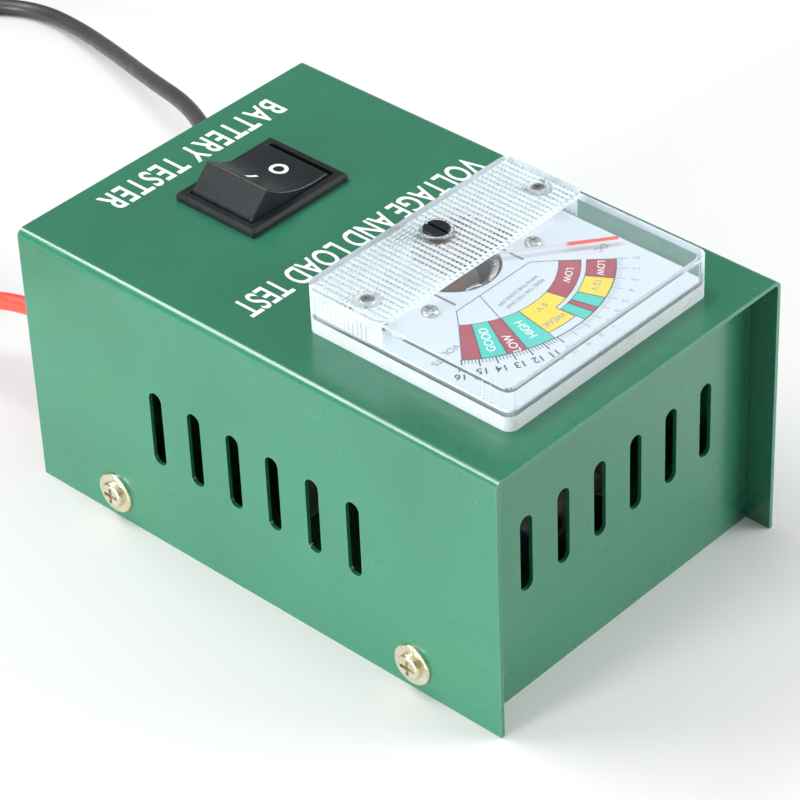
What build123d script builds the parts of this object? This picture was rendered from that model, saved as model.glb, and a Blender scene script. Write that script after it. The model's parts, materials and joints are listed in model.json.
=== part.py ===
"""Handheld battery load tester: folded steel case, rocker switch, moving-coil meter, load strip, two leads.

Millimetres. Origin at the bottom centre of the case. +X runs from the lead end to the meter end,
+Y to the far long side, +Z up. The leads and clips lie on the surface that the case stands on.
"""
import os
from math import atan2, cos, sin, tan, radians, degrees, pi

from build123d import *

# ---- driving dimensions -------------------------------------------------------------------------
CASE_LENGTH = 145.0
CASE_WIDTH = 95.0
CASE_HEIGHT = 70.0
SHEET = 1.0
BEND_RADIUS = 2.0
SLIP = 0.2                      # clearance between the cover and the chassis

VENT_WIDTH = 4.0
VENT_PITCH = 12.2
VENT_COUNT = 6
VENT_LENGTH = 20.3
SIDE_VENT_Z = 33.5
END_VENT_Z = 37.4

END_INSET = 7.0                 # how far the end walls stand inside the cover
FLANGE_HEIGHT = 13.0
LIP_WIDTH = 9.0
SCREW_X = 47.0
SCREW_Z = 7.0
SCREW_SHANK_RADIUS = 1.95
SCREW_FLANGE_RADIUS = 5.2
SCREW_DOME_RADIUS = 3.3

METER_X0 = 5.1
METER_X1 = 63.8
METER_WIDTH = 66.0
METER_CORNER = 2.5
METER_BASE_HEIGHT = 3.8
WINDOW_HEIGHT = 11.0
RIBBED_HEIGHT = 12.3
RIBBED_X1 = 28.3
COVER_WALL = 1.5
CUP_X = 32.5
CUP_RADIUS = 27.0
CUP_WALL = 1.4
CUP_DEPTH = 24.0
PIVOT_X = 18.5
DIAL_HEIGHT = 4.7
DIAL_THICKNESS = 0.6
DIAL_ARCH_RADIUS = 10.8
DIAL_X0 = 22.4
SLIT_Y = 11.2
SLIT_LENGTH = 6.8
POINTER_LENGTH = 37.0
POINTER_FLAG = 12.0             # the broad end that reads against the scale
MOVEMENT_RADIUS = 12.5          # opening over the movement in the meter's white deck
POINTER_REST_DEG = 52.5         # towards the reader's left, which is +Y
POINTER_HEIGHT = 6.0
CORE_RADIUS = 5.6
COIL_BOTTOM = CASE_HEIGHT - 11.6
COIL_TOP = CASE_HEIGHT + 2.6
COIL_REST_DEG = 139.5           # half of the swing either side of the Y axis
STUD_X = 38.0
STUD_Y = 14.0
COVER_SCREW_X = 18.9
COVER_SCREW_Y = 28.0
DIAL_SCREW_X = 26.9
DIAL_SCREW_Y = 17.0
ZERO_SCREW_X = 13.7

SWITCH_X = -40.7
BEZEL_LENGTH = 25.3
BEZEL_WIDTH = 31.5
BEZEL_HEIGHT = 2.0
SWITCH_BODY_LENGTH = 21.6
SWITCH_BODY_WIDTH = 28.6
SWITCH_DEPTH = 25.0
ROCKER_LENGTH = 19.5
ROCKER_PIVOT_Z = CASE_HEIGHT - 1.0
PLUNGER_TILT = 11.0             # the plunger leans this much towards 'off' in the rest place
CONTACT_Y = 9.0
ARM_Z = ROCKER_PIVOT_Z - 12.0
ARM_TILT = 5.5

STRIP_THICKNESS = 0.8
STRIP_HEIGHT = 10.0
STRIP_Z = 16.0
STRIP_X0 = -20.0
STRIP_X1 = 52.0
STRIP_PITCH = 10.0
STRIP_RUNS = 4
STRIP_TAB_X = -32.0

LEAD_DIAMETER = 4.4
LEAD_Z = 28.0
RED_Y = -25.6
BLACK_Y = 30.0
RELIEF_LENGTH = 15.0
COIL_RADIUS = 23.0
COIL_PITCH = 4.8
WIRE_DIAMETER = 3.0

CLIP_WIDTH = 13.0               # along the hinge pin, which stands upright
CLIP_WALL = 0.8
CLIP_SLEEVE = 1.2
CLIP_HANDLE = 38.0
CLIP_JAW = 37.0
CLIP_TAIL_V = -15.5
CLIP_PIN_RADIUS = 1.6
COIL_EXIT_HEADING = 286.0
CLIP_HEADING = 270.0

# Each lead's route from its strain relief to its coil, along the middle of the cord.
RED_ROUTE = [
    (-80.5, -25.6, 28.0),
    (-93.0, -26.4, 27.0),
    (-110.0, -29.2, 24.5),
    (-126.0, -32.4, 12.4),
    (-141.0, -34.8, 3.0),
    (-156.0, -37.4, 2.2),
]
RED_FULL_TURNS = 2
RED_TAIL_RUN = 10.5
BLACK_ROUTE = [
    (-80.5, 30.0, 28.0),
    (-97.0, 31.5, 28.2),
    (-111.5, 50.7, 27.5),
    (-132.0, 63.0, 25.1),
    (-160.0, 73.6, 18.0),
    (-185.0, 84.8, 10.7),
    (-210.0, 94.0, 4.8),
    (-229.5, 97.0, 2.2),
    (-243.0, 90.5, 2.2),
    (-254.0, 77.0, 2.2),
    (-271.0, 58.0, 2.2),
]
BLACK_FULL_TURNS = 1
BLACK_TAIL_RUN = 15.0

# Wires inside the case, from piece to piece.
SUPPLY_WIRE = [(-62.0, -25.6, 28.0), (-54.0, -20.0, 27.0), (-44.0, -6.0, 27.5), (-40.7, 0.0, 34.9)]
LOAD_WIRE = [(-40.7, 9.0, 34.9), (-40.0, 10.2, 28.0), (-34.0, 15.5, 25.5), (-28.0, 18.4, 21.5)]
RETURN_WIRE = [(-28.0, -18.4, 21.5), (-36.0, -19.5, 17.0), (-46.0, -10.0, 13.0), (-54.0, 12.0, 15.5),
               (-62.0, 30.0, 28.0)]

TOP = CASE_HEIGHT
END_WALL_X = CASE_LENGTH / 2 - END_INSET      # outer face of each end wall
METER_CENTRE_X = (METER_X0 + METER_X1) / 2
METER_LENGTH = METER_X1 - METER_X0
METER_BASE_TOP = TOP + METER_BASE_HEIGHT


# ---- small helpers ------------------------------------------------------------------------------
def save(shape, name):
    """Write one node's STEP file."""
    export_step(shape, f"parts/{name}.step")


def block(x0, x1, y0, y1, z0, z1):
    """Box from its lowest and highest corners."""
    return Pos((x0 + x1) / 2, (y0 + y1) / 2, (z0 + z1) / 2) * Box(x1 - x0, y1 - y0, z1 - z0)


def rod(x, y, z0, z1, radius):
    """Upright cylinder between two heights."""
    return Pos(x, y, (z0 + z1) / 2) * Cylinder(radius, z1 - z0)


def rounded_plate(x, y, z0, z1, length, width, corner):
    """Upright prism with rounded corners in plan."""
    return extrude(Plane.XY.offset(z0) * Pos(x, y) * RectangleRounded(length, width, corner), z1 - z0)


def vent_centres():
    """Places of the vent slots along a wall, either side of its middle."""
    return [(i - (VENT_COUNT - 1) / 2) * VENT_PITCH for i in range(VENT_COUNT)]


def bend_radii(points):
    """Arc radius at each inner corner: as large as the two runs beside it allow."""
    radii = []
    for before, here, after in zip(points, points[1:], points[2:]):
        run_in = Vector(*here) - Vector(*before)
        run_out = Vector(*after) - Vector(*here)
        half_turn = radians(run_in.get_angle(run_out)) / 2
        radii.append(0.45 * min(run_in.length, run_out.length) / tan(half_turn))
    return radii


def tube(points, diameter, label):
    """Round tube along straight runs joined by tangent arcs; prints its radii and length."""
    radii = bend_radii(points)
    path = FilletPolyline(*points, radius=radii)
    start = Plane(origin=path @ 0, z_dir=path % 0)
    solid = sweep(start * Circle(diameter / 2), path=path)
    expected = pi * diameter ** 2 / 4 * path.length
    print(f"{label}: length {path.length:.1f}, radii {[round(r) for r in radii]}, "
          f"volume ratio {solid.volume / expected:.4f}")
    return solid


# ---- case ---------------------------------------------------------------------------------------
def make_top_cover():
    """Folded cover: top plate and two long sides, with vents, screw holes and two cut-outs."""
    outer = block(-CASE_LENGTH / 2, CASE_LENGTH / 2, -CASE_WIDTH / 2, CASE_WIDTH / 2, 0, TOP)
    outer = fillet(outer.edges().filter_by(Axis.X).group_by(Axis.Z)[-1], BEND_RADIUS)
    half = CASE_WIDTH / 2 - SHEET
    inner = block(-CASE_LENGTH, CASE_LENGTH, -half, half, -SHEET, TOP - SHEET)
    inner = fillet(inner.edges().filter_by(Axis.X).group_by(Axis.Z)[-1], BEND_RADIUS - SHEET)
    cover = outer - inner
    slot = Rot(90, 0, 0) * extrude(SlotOverall(VENT_LENGTH, VENT_WIDTH, rotation=90), CASE_WIDTH, both=True)
    for x in vent_centres():
        cover -= Pos(x, 0, SIDE_VENT_Z) * slot
    for x in (-SCREW_X, SCREW_X):
        cover -= Pos(x, 0, SCREW_Z) * Rot(90, 0, 0) * Cylinder(2.2, CASE_WIDTH * 2)
    cover -= rod(CUP_X, 0, TOP - 3, TOP + 3, CUP_RADIUS + 0.4)
    cover -= block(SWITCH_X - SWITCH_BODY_LENGTH / 2 - SLIP, SWITCH_X + SWITCH_BODY_LENGTH / 2 + SLIP,
                   -SWITCH_BODY_WIDTH / 2 - SLIP, SWITCH_BODY_WIDTH / 2 + SLIP, TOP - 3, TOP + 3)
    return cover


def make_chassis():
    """Inner tray: floor, two end walls with folded lips, and low side flanges that take the screws."""
    half = CASE_WIDTH / 2 - SHEET - SLIP
    wall = END_WALL_X
    high = TOP - SHEET - BEND_RADIUS / 2
    tray = block(-wall, wall, -half, half, 0, SHEET)
    for side in (-1, 1):
        tray += block(min(side * wall, side * (wall - SHEET)), max(side * wall, side * (wall - SHEET)),
                      -half, half, 0, high)
        flange_y = sorted((side * half, side * (half - SHEET)))
        tray += block(-wall, wall, *flange_y, 0, FLANGE_HEIGHT)
        for end in (-1, 1):
            lip_x = sorted((end * wall, end * (wall - LIP_WIDTH)))
            tray += block(*lip_x, *flange_y, 0, high)
    slot_shape = SlotOverall(VENT_LENGTH, VENT_WIDTH, rotation=90)
    slot = Rot(0, 0, 90) * Rot(90, 0, 0) * extrude(slot_shape, 3, both=True)
    for y in vent_centres():
        tray -= Pos(wall, y, END_VENT_Z) * slot
    for x in (-SCREW_X, SCREW_X):
        tray -= Pos(x, 0, SCREW_Z) * Rot(90, 0, 0) * Cylinder(2.0, CASE_WIDTH * 2)
    for y in (RED_Y, BLACK_Y):
        tray -= Pos(-wall, y, LEAD_Z) * Rot(0, 90, 0) * Cylinder(4.5, 6)
    return tray


def make_cover_screw():
    """Washer-head cross-recess screw along +Z, with its seat at the origin."""
    head = Cylinder(SCREW_FLANGE_RADIUS, 0.9, align=(Align.CENTER, Align.CENTER, Align.MIN))
    head = fillet(head.edges().group_by(Axis.Z)[-1], 0.5)
    dome = Pos(0, 0, 0.9) * Cylinder(SCREW_DOME_RADIUS, 1.3, align=(Align.CENTER, Align.CENTER, Align.MIN))
    dome = fillet(dome.edges().group_by(Axis.Z)[-1], 0.9)
    shank = Cylinder(SCREW_SHANK_RADIUS, 9.0, align=(Align.CENTER, Align.CENTER, Align.MAX))
    cross = Pos(0, 0, 2.2) * (Box(4.2, 0.9, 2.4) + Box(0.9, 4.2, 2.4))
    return head + dome + shank - cross


# ---- meter --------------------------------------------------------------------------------------
def make_meter_body():
    """White moulding: a shallow tray on the panel, and the cup behind it that holds the movement."""
    tray = rounded_plate(METER_CENTRE_X, 0, TOP, METER_BASE_TOP, METER_LENGTH, METER_WIDTH, METER_CORNER)
    tray -= rounded_plate(METER_CENTRE_X, 0, TOP + 1.2, METER_BASE_TOP + 1,
                          METER_LENGTH - 4.0, METER_WIDTH - 4.0, 1.5)
    cup = rod(CUP_X, 0, TOP - CUP_DEPTH, TOP + 1.2, CUP_RADIUS)
    bore = rod(CUP_X, 0, TOP - CUP_DEPTH + CUP_WALL, TOP + 2, CUP_RADIUS - CUP_WALL)
    body = tray + cup - bore
    for y in (-DIAL_SCREW_Y, DIAL_SCREW_Y):
        post = rod(DIAL_SCREW_X, y, TOP - CUP_DEPTH, TOP + DIAL_HEIGHT - DIAL_THICKNESS, 2.6)
        body += post - rod(DIAL_SCREW_X, y, TOP - 4, TOP + DIAL_HEIGHT, 1.05)
    for y in (-COVER_SCREW_Y, COVER_SCREW_Y):
        post = rod(COVER_SCREW_X, y, TOP + 0.5, METER_BASE_TOP, 2.4)
        body += post - rod(COVER_SCREW_X, y, TOP + 1.0, TOP + 8, 0.85)
    for y in (-STUD_Y, STUD_Y):
        body -= rod(STUD_X, y, TOP - CUP_DEPTH - 1, TOP - CUP_DEPTH + 2, 2.05)
    deck = block(METER_X0 + 1, DIAL_X0 - 0.6, 1 - METER_WIDTH / 2, METER_WIDTH / 2 - 1,
                 METER_BASE_TOP - 0.5, METER_BASE_TOP)
    deck -= rod(PIVOT_X, 0, TOP, METER_BASE_TOP + 1, MOVEMENT_RADIUS)
    for y in (-COVER_SCREW_Y, COVER_SCREW_Y):
        deck -= rod(COVER_SCREW_X, y, TOP, METER_BASE_TOP + 1, 0.85)
    return body + deck


def make_meter_cover():
    """Clear cover: open box with a window and a higher ribbed band over the movement."""
    window_top = TOP + WINDOW_HEIGHT
    ribbed_top = TOP + RIBBED_HEIGHT
    band_length = RIBBED_X1 - METER_X0
    band_x = (METER_X0 + RIBBED_X1) / 2
    outer = rounded_plate(METER_CENTRE_X, 0, METER_BASE_TOP, window_top,
                          METER_LENGTH, METER_WIDTH, METER_CORNER)
    outer += rounded_plate(band_x, 0, METER_BASE_TOP, ribbed_top,
                           band_length, METER_WIDTH, METER_CORNER)
    inner = rounded_plate(METER_CENTRE_X, 0, METER_BASE_TOP - 1, window_top - COVER_WALL,
                          METER_LENGTH - 2 * COVER_WALL, METER_WIDTH - 2 * COVER_WALL, 1.2)
    cover = outer - inner
    for y in (-COVER_SCREW_Y, COVER_SCREW_Y):
        cover += rod(COVER_SCREW_X, y, METER_BASE_TOP, ribbed_top, 3.0)
        cover -= rod(COVER_SCREW_X, y, METER_BASE_TOP - 1, ribbed_top + 1, 1.2)
        cover -= rod(COVER_SCREW_X, y, ribbed_top - 1.9, ribbed_top + 1, 2.3)
    cover -= rod(ZERO_SCREW_X, 0, window_top - 4, ribbed_top + 1, 1.6)
    cover -= rod(ZERO_SCREW_X, 0, ribbed_top - 1.2, ribbed_top + 1, 3.3)
    return cover


def make_meter_cover_screw():
    """Small cross-recess screw that holds the clear cover, seat at the origin."""
    head = Cylinder(2.0, 1.3, align=(Align.CENTER, Align.CENTER, Align.MIN))
    head = fillet(head.edges().group_by(Axis.Z)[-1], 0.6)
    shank = Cylinder(0.8, 8.5, align=(Align.CENTER, Align.CENTER, Align.MAX))
    cross = Pos(0, 0, 1.3) * (Box(2.4, 0.5, 1.4) + Box(0.5, 2.4, 1.4))
    return head + shank - cross


def make_dial_screw():
    """Pan-head cross-recess screw that holds the dial, seat at the origin."""
    head = Cylinder(2.0, 1.2, align=(Align.CENTER, Align.CENTER, Align.MIN))
    head = fillet(head.edges().group_by(Axis.Z)[-1], 0.7)
    shank = Cylinder(1.0, 5.5, align=(Align.CENTER, Align.CENTER, Align.MAX))
    cross = Pos(0, 0, 1.2) * (Box(2.4, 0.5, 1.2) + Box(0.5, 2.4, 1.2))
    return head + shank - cross


def make_meter_dial():
    """Dial plate with an arched cut-out round the pivot, two slits beside it and screw holes."""
    low = TOP + DIAL_HEIGHT - DIAL_THICKNESS
    high = TOP + DIAL_HEIGHT
    gap = COVER_WALL + 0.2
    length = METER_X1 - gap - DIAL_X0
    plate = rounded_plate(DIAL_X0 + length / 2, 0, low, high, length, METER_WIDTH - 2 * gap, 1.0)
    plate -= rod(PIVOT_X, 0, low - 1, high + 1, DIAL_ARCH_RADIUS)
    for side in (-1, 1):
        slit = side * SLIT_Y
        plate -= block(DIAL_X0 - 1, DIAL_X0 + SLIT_LENGTH, slit - 0.35, slit + 0.35, low - 1, high + 1)
    for y in (-DIAL_SCREW_Y, DIAL_SCREW_Y):
        plate -= rod(DIAL_SCREW_X, y, low - 1, high + 1, 1.1)
    return plate


def make_magnet():
    """Magnet block with soft-iron poles, bored for the moving coil."""
    low = TOP - CUP_DEPTH + CUP_WALL
    magnet = block(PIVOT_X - 9.0, PIVOT_X + 20.0, -10.5, 10.5, low + 8.0, TOP + 3.2)
    magnet = fillet(magnet.edges().filter_by(Axis.Z), 2.0)
    magnet -= rod(PIVOT_X, 0, low, TOP + 5, 8.3)
    magnet -= block(PIVOT_X - 12, PIVOT_X, -5.0, 5.0, low, TOP + 5)
    foot = block(PIVOT_X + 10.0, PIVOT_X + 16.0, -4.0, 4.0, low, low + 8.0)
    return magnet + foot


def make_iron_core():
    """Soft-iron core on a narrow post from the floor of the cup, with a foot for the lower jewel."""
    low = TOP - CUP_DEPTH + CUP_WALL
    core = rod(PIVOT_X, 0, TOP - 10.0, TOP + 1.0, CORE_RADIUS)
    core -= rod(PIVOT_X, 0, TOP - 12.0, TOP + 2.0, 1.0)
    core += block(PIVOT_X + 4.2, PIVOT_X + 5.4, -0.8, 0.8, low, TOP - 10.0)
    foot = block(PIVOT_X - 1.5, PIVOT_X + 5.0, -0.8, 0.8, COIL_BOTTOM - 2.0, COIL_BOTTOM - 1.0)
    return core + foot - rod(PIVOT_X, 0, COIL_BOTTOM - 3, COIL_BOTTOM, 0.45)


def make_movement_bridge():
    """Strap over the movement that carries the upper jewel."""
    low = TOP + 3.2
    deck = TOP + 7.2
    strap = block(PIVOT_X - 2.6, PIVOT_X + 2.6, -10.0, 10.0, deck, deck + 0.9)
    for side in (-1, 1):
        leg_y = sorted((side * 10.0, side * 8.9))
        strap += block(PIVOT_X - 2.6, PIVOT_X + 2.6, *leg_y, low, deck + 0.9)
    strap = fillet(strap.edges().filter_by(Axis.X).group_by(Axis.Z)[-1], 0.6)
    return strap - rod(PIVOT_X, 0, deck - 1, deck + 2, 1.3)


def make_jewel_screw():
    """Slotted brass screw with the jewel that the pointer's pivot turns in."""
    deck = TOP + 7.2
    screw = rod(PIVOT_X, 0, deck - 0.4, deck + 0.9, 1.25) + rod(PIVOT_X, 0, deck + 0.9, deck + 1.5, 1.9)
    screw -= rod(PIVOT_X, 0, deck - 1.0, deck + 0.2, 0.42)
    return screw - block(PIVOT_X - 2.5, PIVOT_X + 2.5, -0.25, 0.25, deck + 1.15, deck + 2.0)


def make_moving_coil():
    """Rectangular coil frame round the core, with its staff."""
    half_width = CORE_RADIUS + 1.6
    coil = block(-half_width, half_width, -2.0, 2.0, COIL_BOTTOM, COIL_TOP)
    coil -= block(-half_width + 1.0, half_width - 1.0, -3.0, 3.0, COIL_BOTTOM + 1.0, COIL_TOP - 1.0)
    coil = Rot(0, 0, COIL_REST_DEG) * coil
    staff = rod(0, 0, COIL_TOP, TOP + 6.7, 0.48) + rod(0, 0, TOP + 6.7, TOP + 7.3, 0.35)
    staff += rod(0, 0, COIL_BOTTOM - 1.9, COIL_BOTTOM, 0.35)
    return Pos(PIVOT_X, 0, 0) * (coil + staff)


def make_pointer():
    """Thin pointer with a flag at its end and a crossed tail for its balance weights, at rest."""
    z0 = TOP + POINTER_HEIGHT
    flag = POINTER_LENGTH - POINTER_FLAG
    blade = Polygon((1.0, -0.3), (flag - 2, -0.22), (flag, -0.5), (POINTER_LENGTH, -0.4),
                    (POINTER_LENGTH, 0.4), (flag, 0.5), (flag - 2, 0.22), (1.0, 0.3), align=None)
    arm = extrude(Plane.XY.offset(z0) * blade, 0.3)
    hub = rod(0, 0, z0 - 0.5, z0 + 0.6, 1.6) - rod(0, 0, z0 - 2, z0 + 2, 0.5)
    tail = block(-6.5, -1.2, -0.35, 0.35, z0, z0 + 0.3)
    tail += block(-0.35, 0.35, 1.2, 5.0, z0, z0 + 0.3) + block(-0.35, 0.35, -5.0, -1.2, z0, z0 + 0.3)
    weight = Pos(-5.6, 0, z0 + 0.15) * Rot(0, 90, 0) * Cylinder(0.8, 1.8)
    pointer = arm + hub + tail + weight
    return Pos(PIVOT_X, 0, 0) * Rot(0, 0, POINTER_REST_DEG) * pointer


def make_zero_screw():
    """Slotted black screw through the cover; its small pin is off centre and moves the zero lever."""
    top = TOP + RIBBED_HEIGHT
    head = rod(ZERO_SCREW_X, 0, top - 1.1, top + 1.0, 3.1)
    head = fillet(head.edges().group_by(Axis.Z)[-1], 0.4)
    screw = head + rod(ZERO_SCREW_X, 0, TOP + 9.2, top - 1.1, 1.5)
    screw -= block(ZERO_SCREW_X - 4, ZERO_SCREW_X + 4, -0.45, 0.45, top + 0.1, top + 2)
    return screw + rod(ZERO_SCREW_X - 0.9, 0, TOP + 8.1, TOP + 9.2, 0.5)


def make_zero_lever():
    """Forked lever on the upper jewel: the off-centre pin swings it and winds the hairspring."""
    z0 = TOP + 8.15
    z1 = TOP + 8.65
    lever = rod(PIVOT_X, 0, z0, z1, 3.2)
    lever += block(ZERO_SCREW_X - 2.6, PIVOT_X, -1.7, 1.7, z0, z1)
    lever += block(PIVOT_X, PIVOT_X + 5.5, -0.6, 0.6, z0, z1)
    lever -= rod(PIVOT_X, 0, z0 - 1, z1 + 1, 2.0)
    return lever - block(ZERO_SCREW_X - 4, ZERO_SCREW_X + 1.2, -0.75, 0.75, z0 - 1, z1 + 1)


def make_meter_stud(y):
    """Threaded terminal stud with a collar inside the cup."""
    floor = TOP - CUP_DEPTH + CUP_WALL
    return rod(STUD_X, y, TOP - CUP_DEPTH - 12.0, floor, 2.0) + rod(STUD_X, y, floor, floor + 2.0, 3.6)


def make_meter_nut(y):
    """Hexagon nut that holds the clamp on a terminal stud."""
    high = TOP - CUP_DEPTH - 1.0
    nut = extrude(Plane.XY.offset(high - 3.2) * Pos(STUD_X, y) * RegularPolygon(4.0, 6), 3.2)
    return nut - rod(STUD_X, y, high - 5, high + 1, 2.05)


def make_meter_clamp():
    """Bent strip under the cup whose arms press on the underside of the panel."""
    low = TOP - CUP_DEPTH - 1.0
    high = TOP - SHEET
    clamp = block(STUD_X - 5, STUD_X + 5, -31, 31, low, low + 1.0)
    for side in (-1, 1):
        clamp += block(STUD_X - 5, STUD_X + 5, *sorted((side * 31, side * 30)), low, high)
        clamp -= rod(STUD_X, side * STUD_Y, low - 1, low + 2, 2.1)
    return clamp


# ---- switch -------------------------------------------------------------------------------------
def make_switch_housing():
    """Bezel and box of the switch, with a well for the rocker."""
    bezel = rounded_plate(SWITCH_X, 0, TOP, TOP + BEZEL_HEIGHT, BEZEL_LENGTH, BEZEL_WIDTH, 0.8)
    bezel = chamfer(bezel.edges().group_by(Axis.Z)[-1], 0.7)
    length = SWITCH_BODY_LENGTH
    width = SWITCH_BODY_WIDTH
    body = block(SWITCH_X - length / 2, SWITCH_X + length / 2, -width / 2, width / 2,
                 TOP - SWITCH_DEPTH, TOP)
    well = block(SWITCH_X - ROCKER_LENGTH / 2 - 0.3, SWITCH_X + ROCKER_LENGTH / 2 + 0.3, -13.6, 13.6,
                 TOP - SWITCH_DEPTH + 1.5, TOP + 3)
    housing = bezel + body - well
    housing -= Pos(SWITCH_X, 0, ROCKER_PIVOT_Z) * Rot(0, 90, 0) * Cylinder(1.3, length - 0.5)
    for y in (0, CONTACT_Y):
        housing -= block(SWITCH_X - 3.2, SWITCH_X + 3.2, y - 0.45, y + 0.45,
                         TOP - SWITCH_DEPTH - 1, TOP - SWITCH_DEPTH + 2)
    for side in (-1, 1):
        catch = block(SWITCH_X - 4, SWITCH_X + 4, *sorted((side * width / 2, side * (width / 2 + 1.1))),
                      TOP - SHEET - 5, TOP - SHEET - 0.1)
        housing += catch
    return housing


def make_rocker():
    """Rocker with a raised ridge over the 'on' end and a dished top, in its 'off' place."""
    pivot = ROCKER_PIVOT_Z
    ridge = (-7.4, 9.0)
    far_edge = (11.3, 4.0)
    with BuildSketch(Plane.YZ) as profile:
        with BuildLine():
            Polyline((-13.3, 2.0), (-13.0, 3.6), ridge)
            ThreePointArc(ridge, (1.6, 4.6), far_edge)
            Polyline(far_edge, (13.3, 2.0), (13.1, -1.4), (5.2, -3.6), (1.2, -8.6),
                     (-4.6, -8.2), (-5.6, -4.2), (-12.9, -0.6), (-13.3, 2.0))
        make_face()
    rocker = extrude(profile.sketch, ROCKER_LENGTH / 2, both=True)
    shown = rocker.edges().filter_by(lambda edge: edge.center().Z > 2.5)
    rocker = fillet(shown, 0.45)
    rocker += Rot(0, 90, 0) * Cylinder(1.22, ROCKER_LENGTH + 1.2)
    socket = Rot(-PLUNGER_TILT, 0, 0) * Pos(0, 0, -8) * Cylinder(2.0, 10)
    return Pos(SWITCH_X, 0, pivot) * (rocker - socket)


def make_rocker_plunger():
    """Spring-loaded button under the rocker that tips the contact arm."""
    button = Pos(0, 0, -7.6) * Cylinder(1.9, 5.6)
    button = fillet(button.edges().group_by(Axis.Z)[0], 1.2)
    return Pos(SWITCH_X, 0, ROCKER_PIVOT_Z) * Rot(-PLUNGER_TILT, 0, 0) * button


def make_contact_arm():
    """See-saw contact arm under the plunger, open in the rest place."""
    arm = Pos(0, 0, 0.6) * Box(6.0, 22.0, 0.9) + Pos(0, CONTACT_Y, -0.2) * Cylinder(1.6, 0.9)
    knuckle = Rot(0, 90, 0) * Cylinder(0.9, 6.0)
    return Pos(SWITCH_X, 0, ARM_Z) * Rot(ARM_TILT, 0, 0) * (arm + knuckle)


def make_switch_terminal(y):
    """Spade terminal through the floor of the switch, with a seat for the arm or its contact."""
    floor = TOP - SWITCH_DEPTH
    seat = ARM_Z - 1.0 if y == 0 else ARM_Z - 1.8
    blade = block(SWITCH_X - 3.15, SWITCH_X + 3.15, y - 0.4, y + 0.4, floor - 10.0, seat)
    blade -= Pos(SWITCH_X, y, floor - 6.0) * Rot(90, 0, 0) * Cylinder(0.9, 4)
    shoulder = block(SWITCH_X - 3.15, SWITCH_X + 3.15, y - 2.0, y + 2.0, floor + 1.5, floor + 2.3)
    pad = rod(SWITCH_X, y, seat - 0.6, seat, 1.6) if y else block(
        SWITCH_X - 3.15, SWITCH_X + 3.15, -1.2, 1.2, seat - 0.4, seat)
    return blade + shoulder + pad


# ---- load ---------------------------------------------------------------------------------------
def strip_run_places():
    """Y of each run of the load strip."""
    return [(i - (STRIP_RUNS - 1) / 2) * STRIP_PITCH for i in range(STRIP_RUNS)]


def make_load_strip():
    """Resistance strip folded to and fro between the two ceramic combs."""
    places = strip_run_places()
    half = STRIP_THICKNESS / 2
    strip = None
    for i, y in enumerate(places):
        end_run = i in (0, len(places) - 1)
        x0 = STRIP_TAB_X if end_run else STRIP_X0
        run = block(x0, STRIP_X1, y - half, y + half, STRIP_Z, STRIP_Z + STRIP_HEIGHT)
        strip = run if strip is None else strip + run
    for i, y in enumerate(places[:-1]):
        at_meter_end = i % 2 == 0
        x = STRIP_X1 if at_meter_end else STRIP_X0
        middle = y + STRIP_PITCH / 2
        ring = rod(x, middle, STRIP_Z, STRIP_Z + STRIP_HEIGHT, STRIP_PITCH / 2 + half)
        ring -= rod(x, middle, STRIP_Z - 1, STRIP_Z + STRIP_HEIGHT + 1, STRIP_PITCH / 2 - half)
        keep = block(x, x + 20, -60, 60, 0, 60) if at_meter_end else block(x - 20, x, -60, 60, 0, 60)
        strip += ring & keep
    for y in (places[0], places[-1]):
        strip -= Pos(STRIP_TAB_X + 5, y, STRIP_Z + STRIP_HEIGHT / 2) * Rot(90, 0, 0) * Cylinder(2.1, 4)
    return strip


def make_ceramic_comb(x):
    """Ceramic comb on the chassis floor; the strip's runs stand in its slots."""
    comb = block(x - 3, x + 3, -20, 20, SHEET, STRIP_Z + 7.0)
    for y in strip_run_places():
        slot = STRIP_THICKNESS / 2 + 0.1
        comb -= block(x - 5, x + 5, y - slot, y + slot, STRIP_Z, STRIP_Z + 20)
    return comb


def make_load_bolt(y):
    """Bolt and nut through the strip's end, where a wire is made fast."""
    z = STRIP_Z + STRIP_HEIGHT / 2
    bolt = Cylinder(2.0, 9.0)
    for side in (-1, 1):
        nut = extrude(RegularPolygon(4.0, 6), 1.48, both=True)
        bolt += Pos(0, 0, side * (STRIP_THICKNESS / 2 + 1.5)) * nut
    return Pos(STRIP_TAB_X + 5, y, z) * Rot(90, 0, 0) * bolt


# ---- leads --------------------------------------------------------------------------------------
def heading(angle):
    """Unit vector in plan."""
    return Vector(cos(radians(angle)), sin(radians(angle)), 0)


def coil_facts(route, full_turns):
    """Centre, start angle and turns of the coil at a route's end, wound anticlockwise."""
    last = Vector(*route[-1])
    run = last - Vector(*route[-2])
    entry = degrees(atan2(run.Y, run.X)) % 360
    turns = full_turns + ((COIL_EXIT_HEADING - entry) % 360) / 360
    centre = last + heading(entry + 90) * COIL_RADIUS
    return centre, entry - 90, turns


def tail_route(route, full_turns, run):
    """Points from the coil's end, level over its edge and then down to the clip's handle."""
    centre, start, turns = coil_facts(route, full_turns)
    point = centre + heading(start + 360 * turns) * COIL_RADIUS
    coil_top = route[-1][2] + COIL_PITCH * turns
    handle_z = CLIP_WIDTH / 2
    heights = (coil_top - 0.3, (coil_top + handle_z) / 2, handle_z, handle_z)
    swing = (CLIP_HEADING - COIL_EXIT_HEADING) / (len(heights) - 1)
    points = [(point.X, point.Y, coil_top)]
    for step, height in enumerate(heights):
        point = point + heading(COIL_EXIT_HEADING + swing * step) * run
        points.append((point.X, point.Y, height))
    return points


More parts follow.
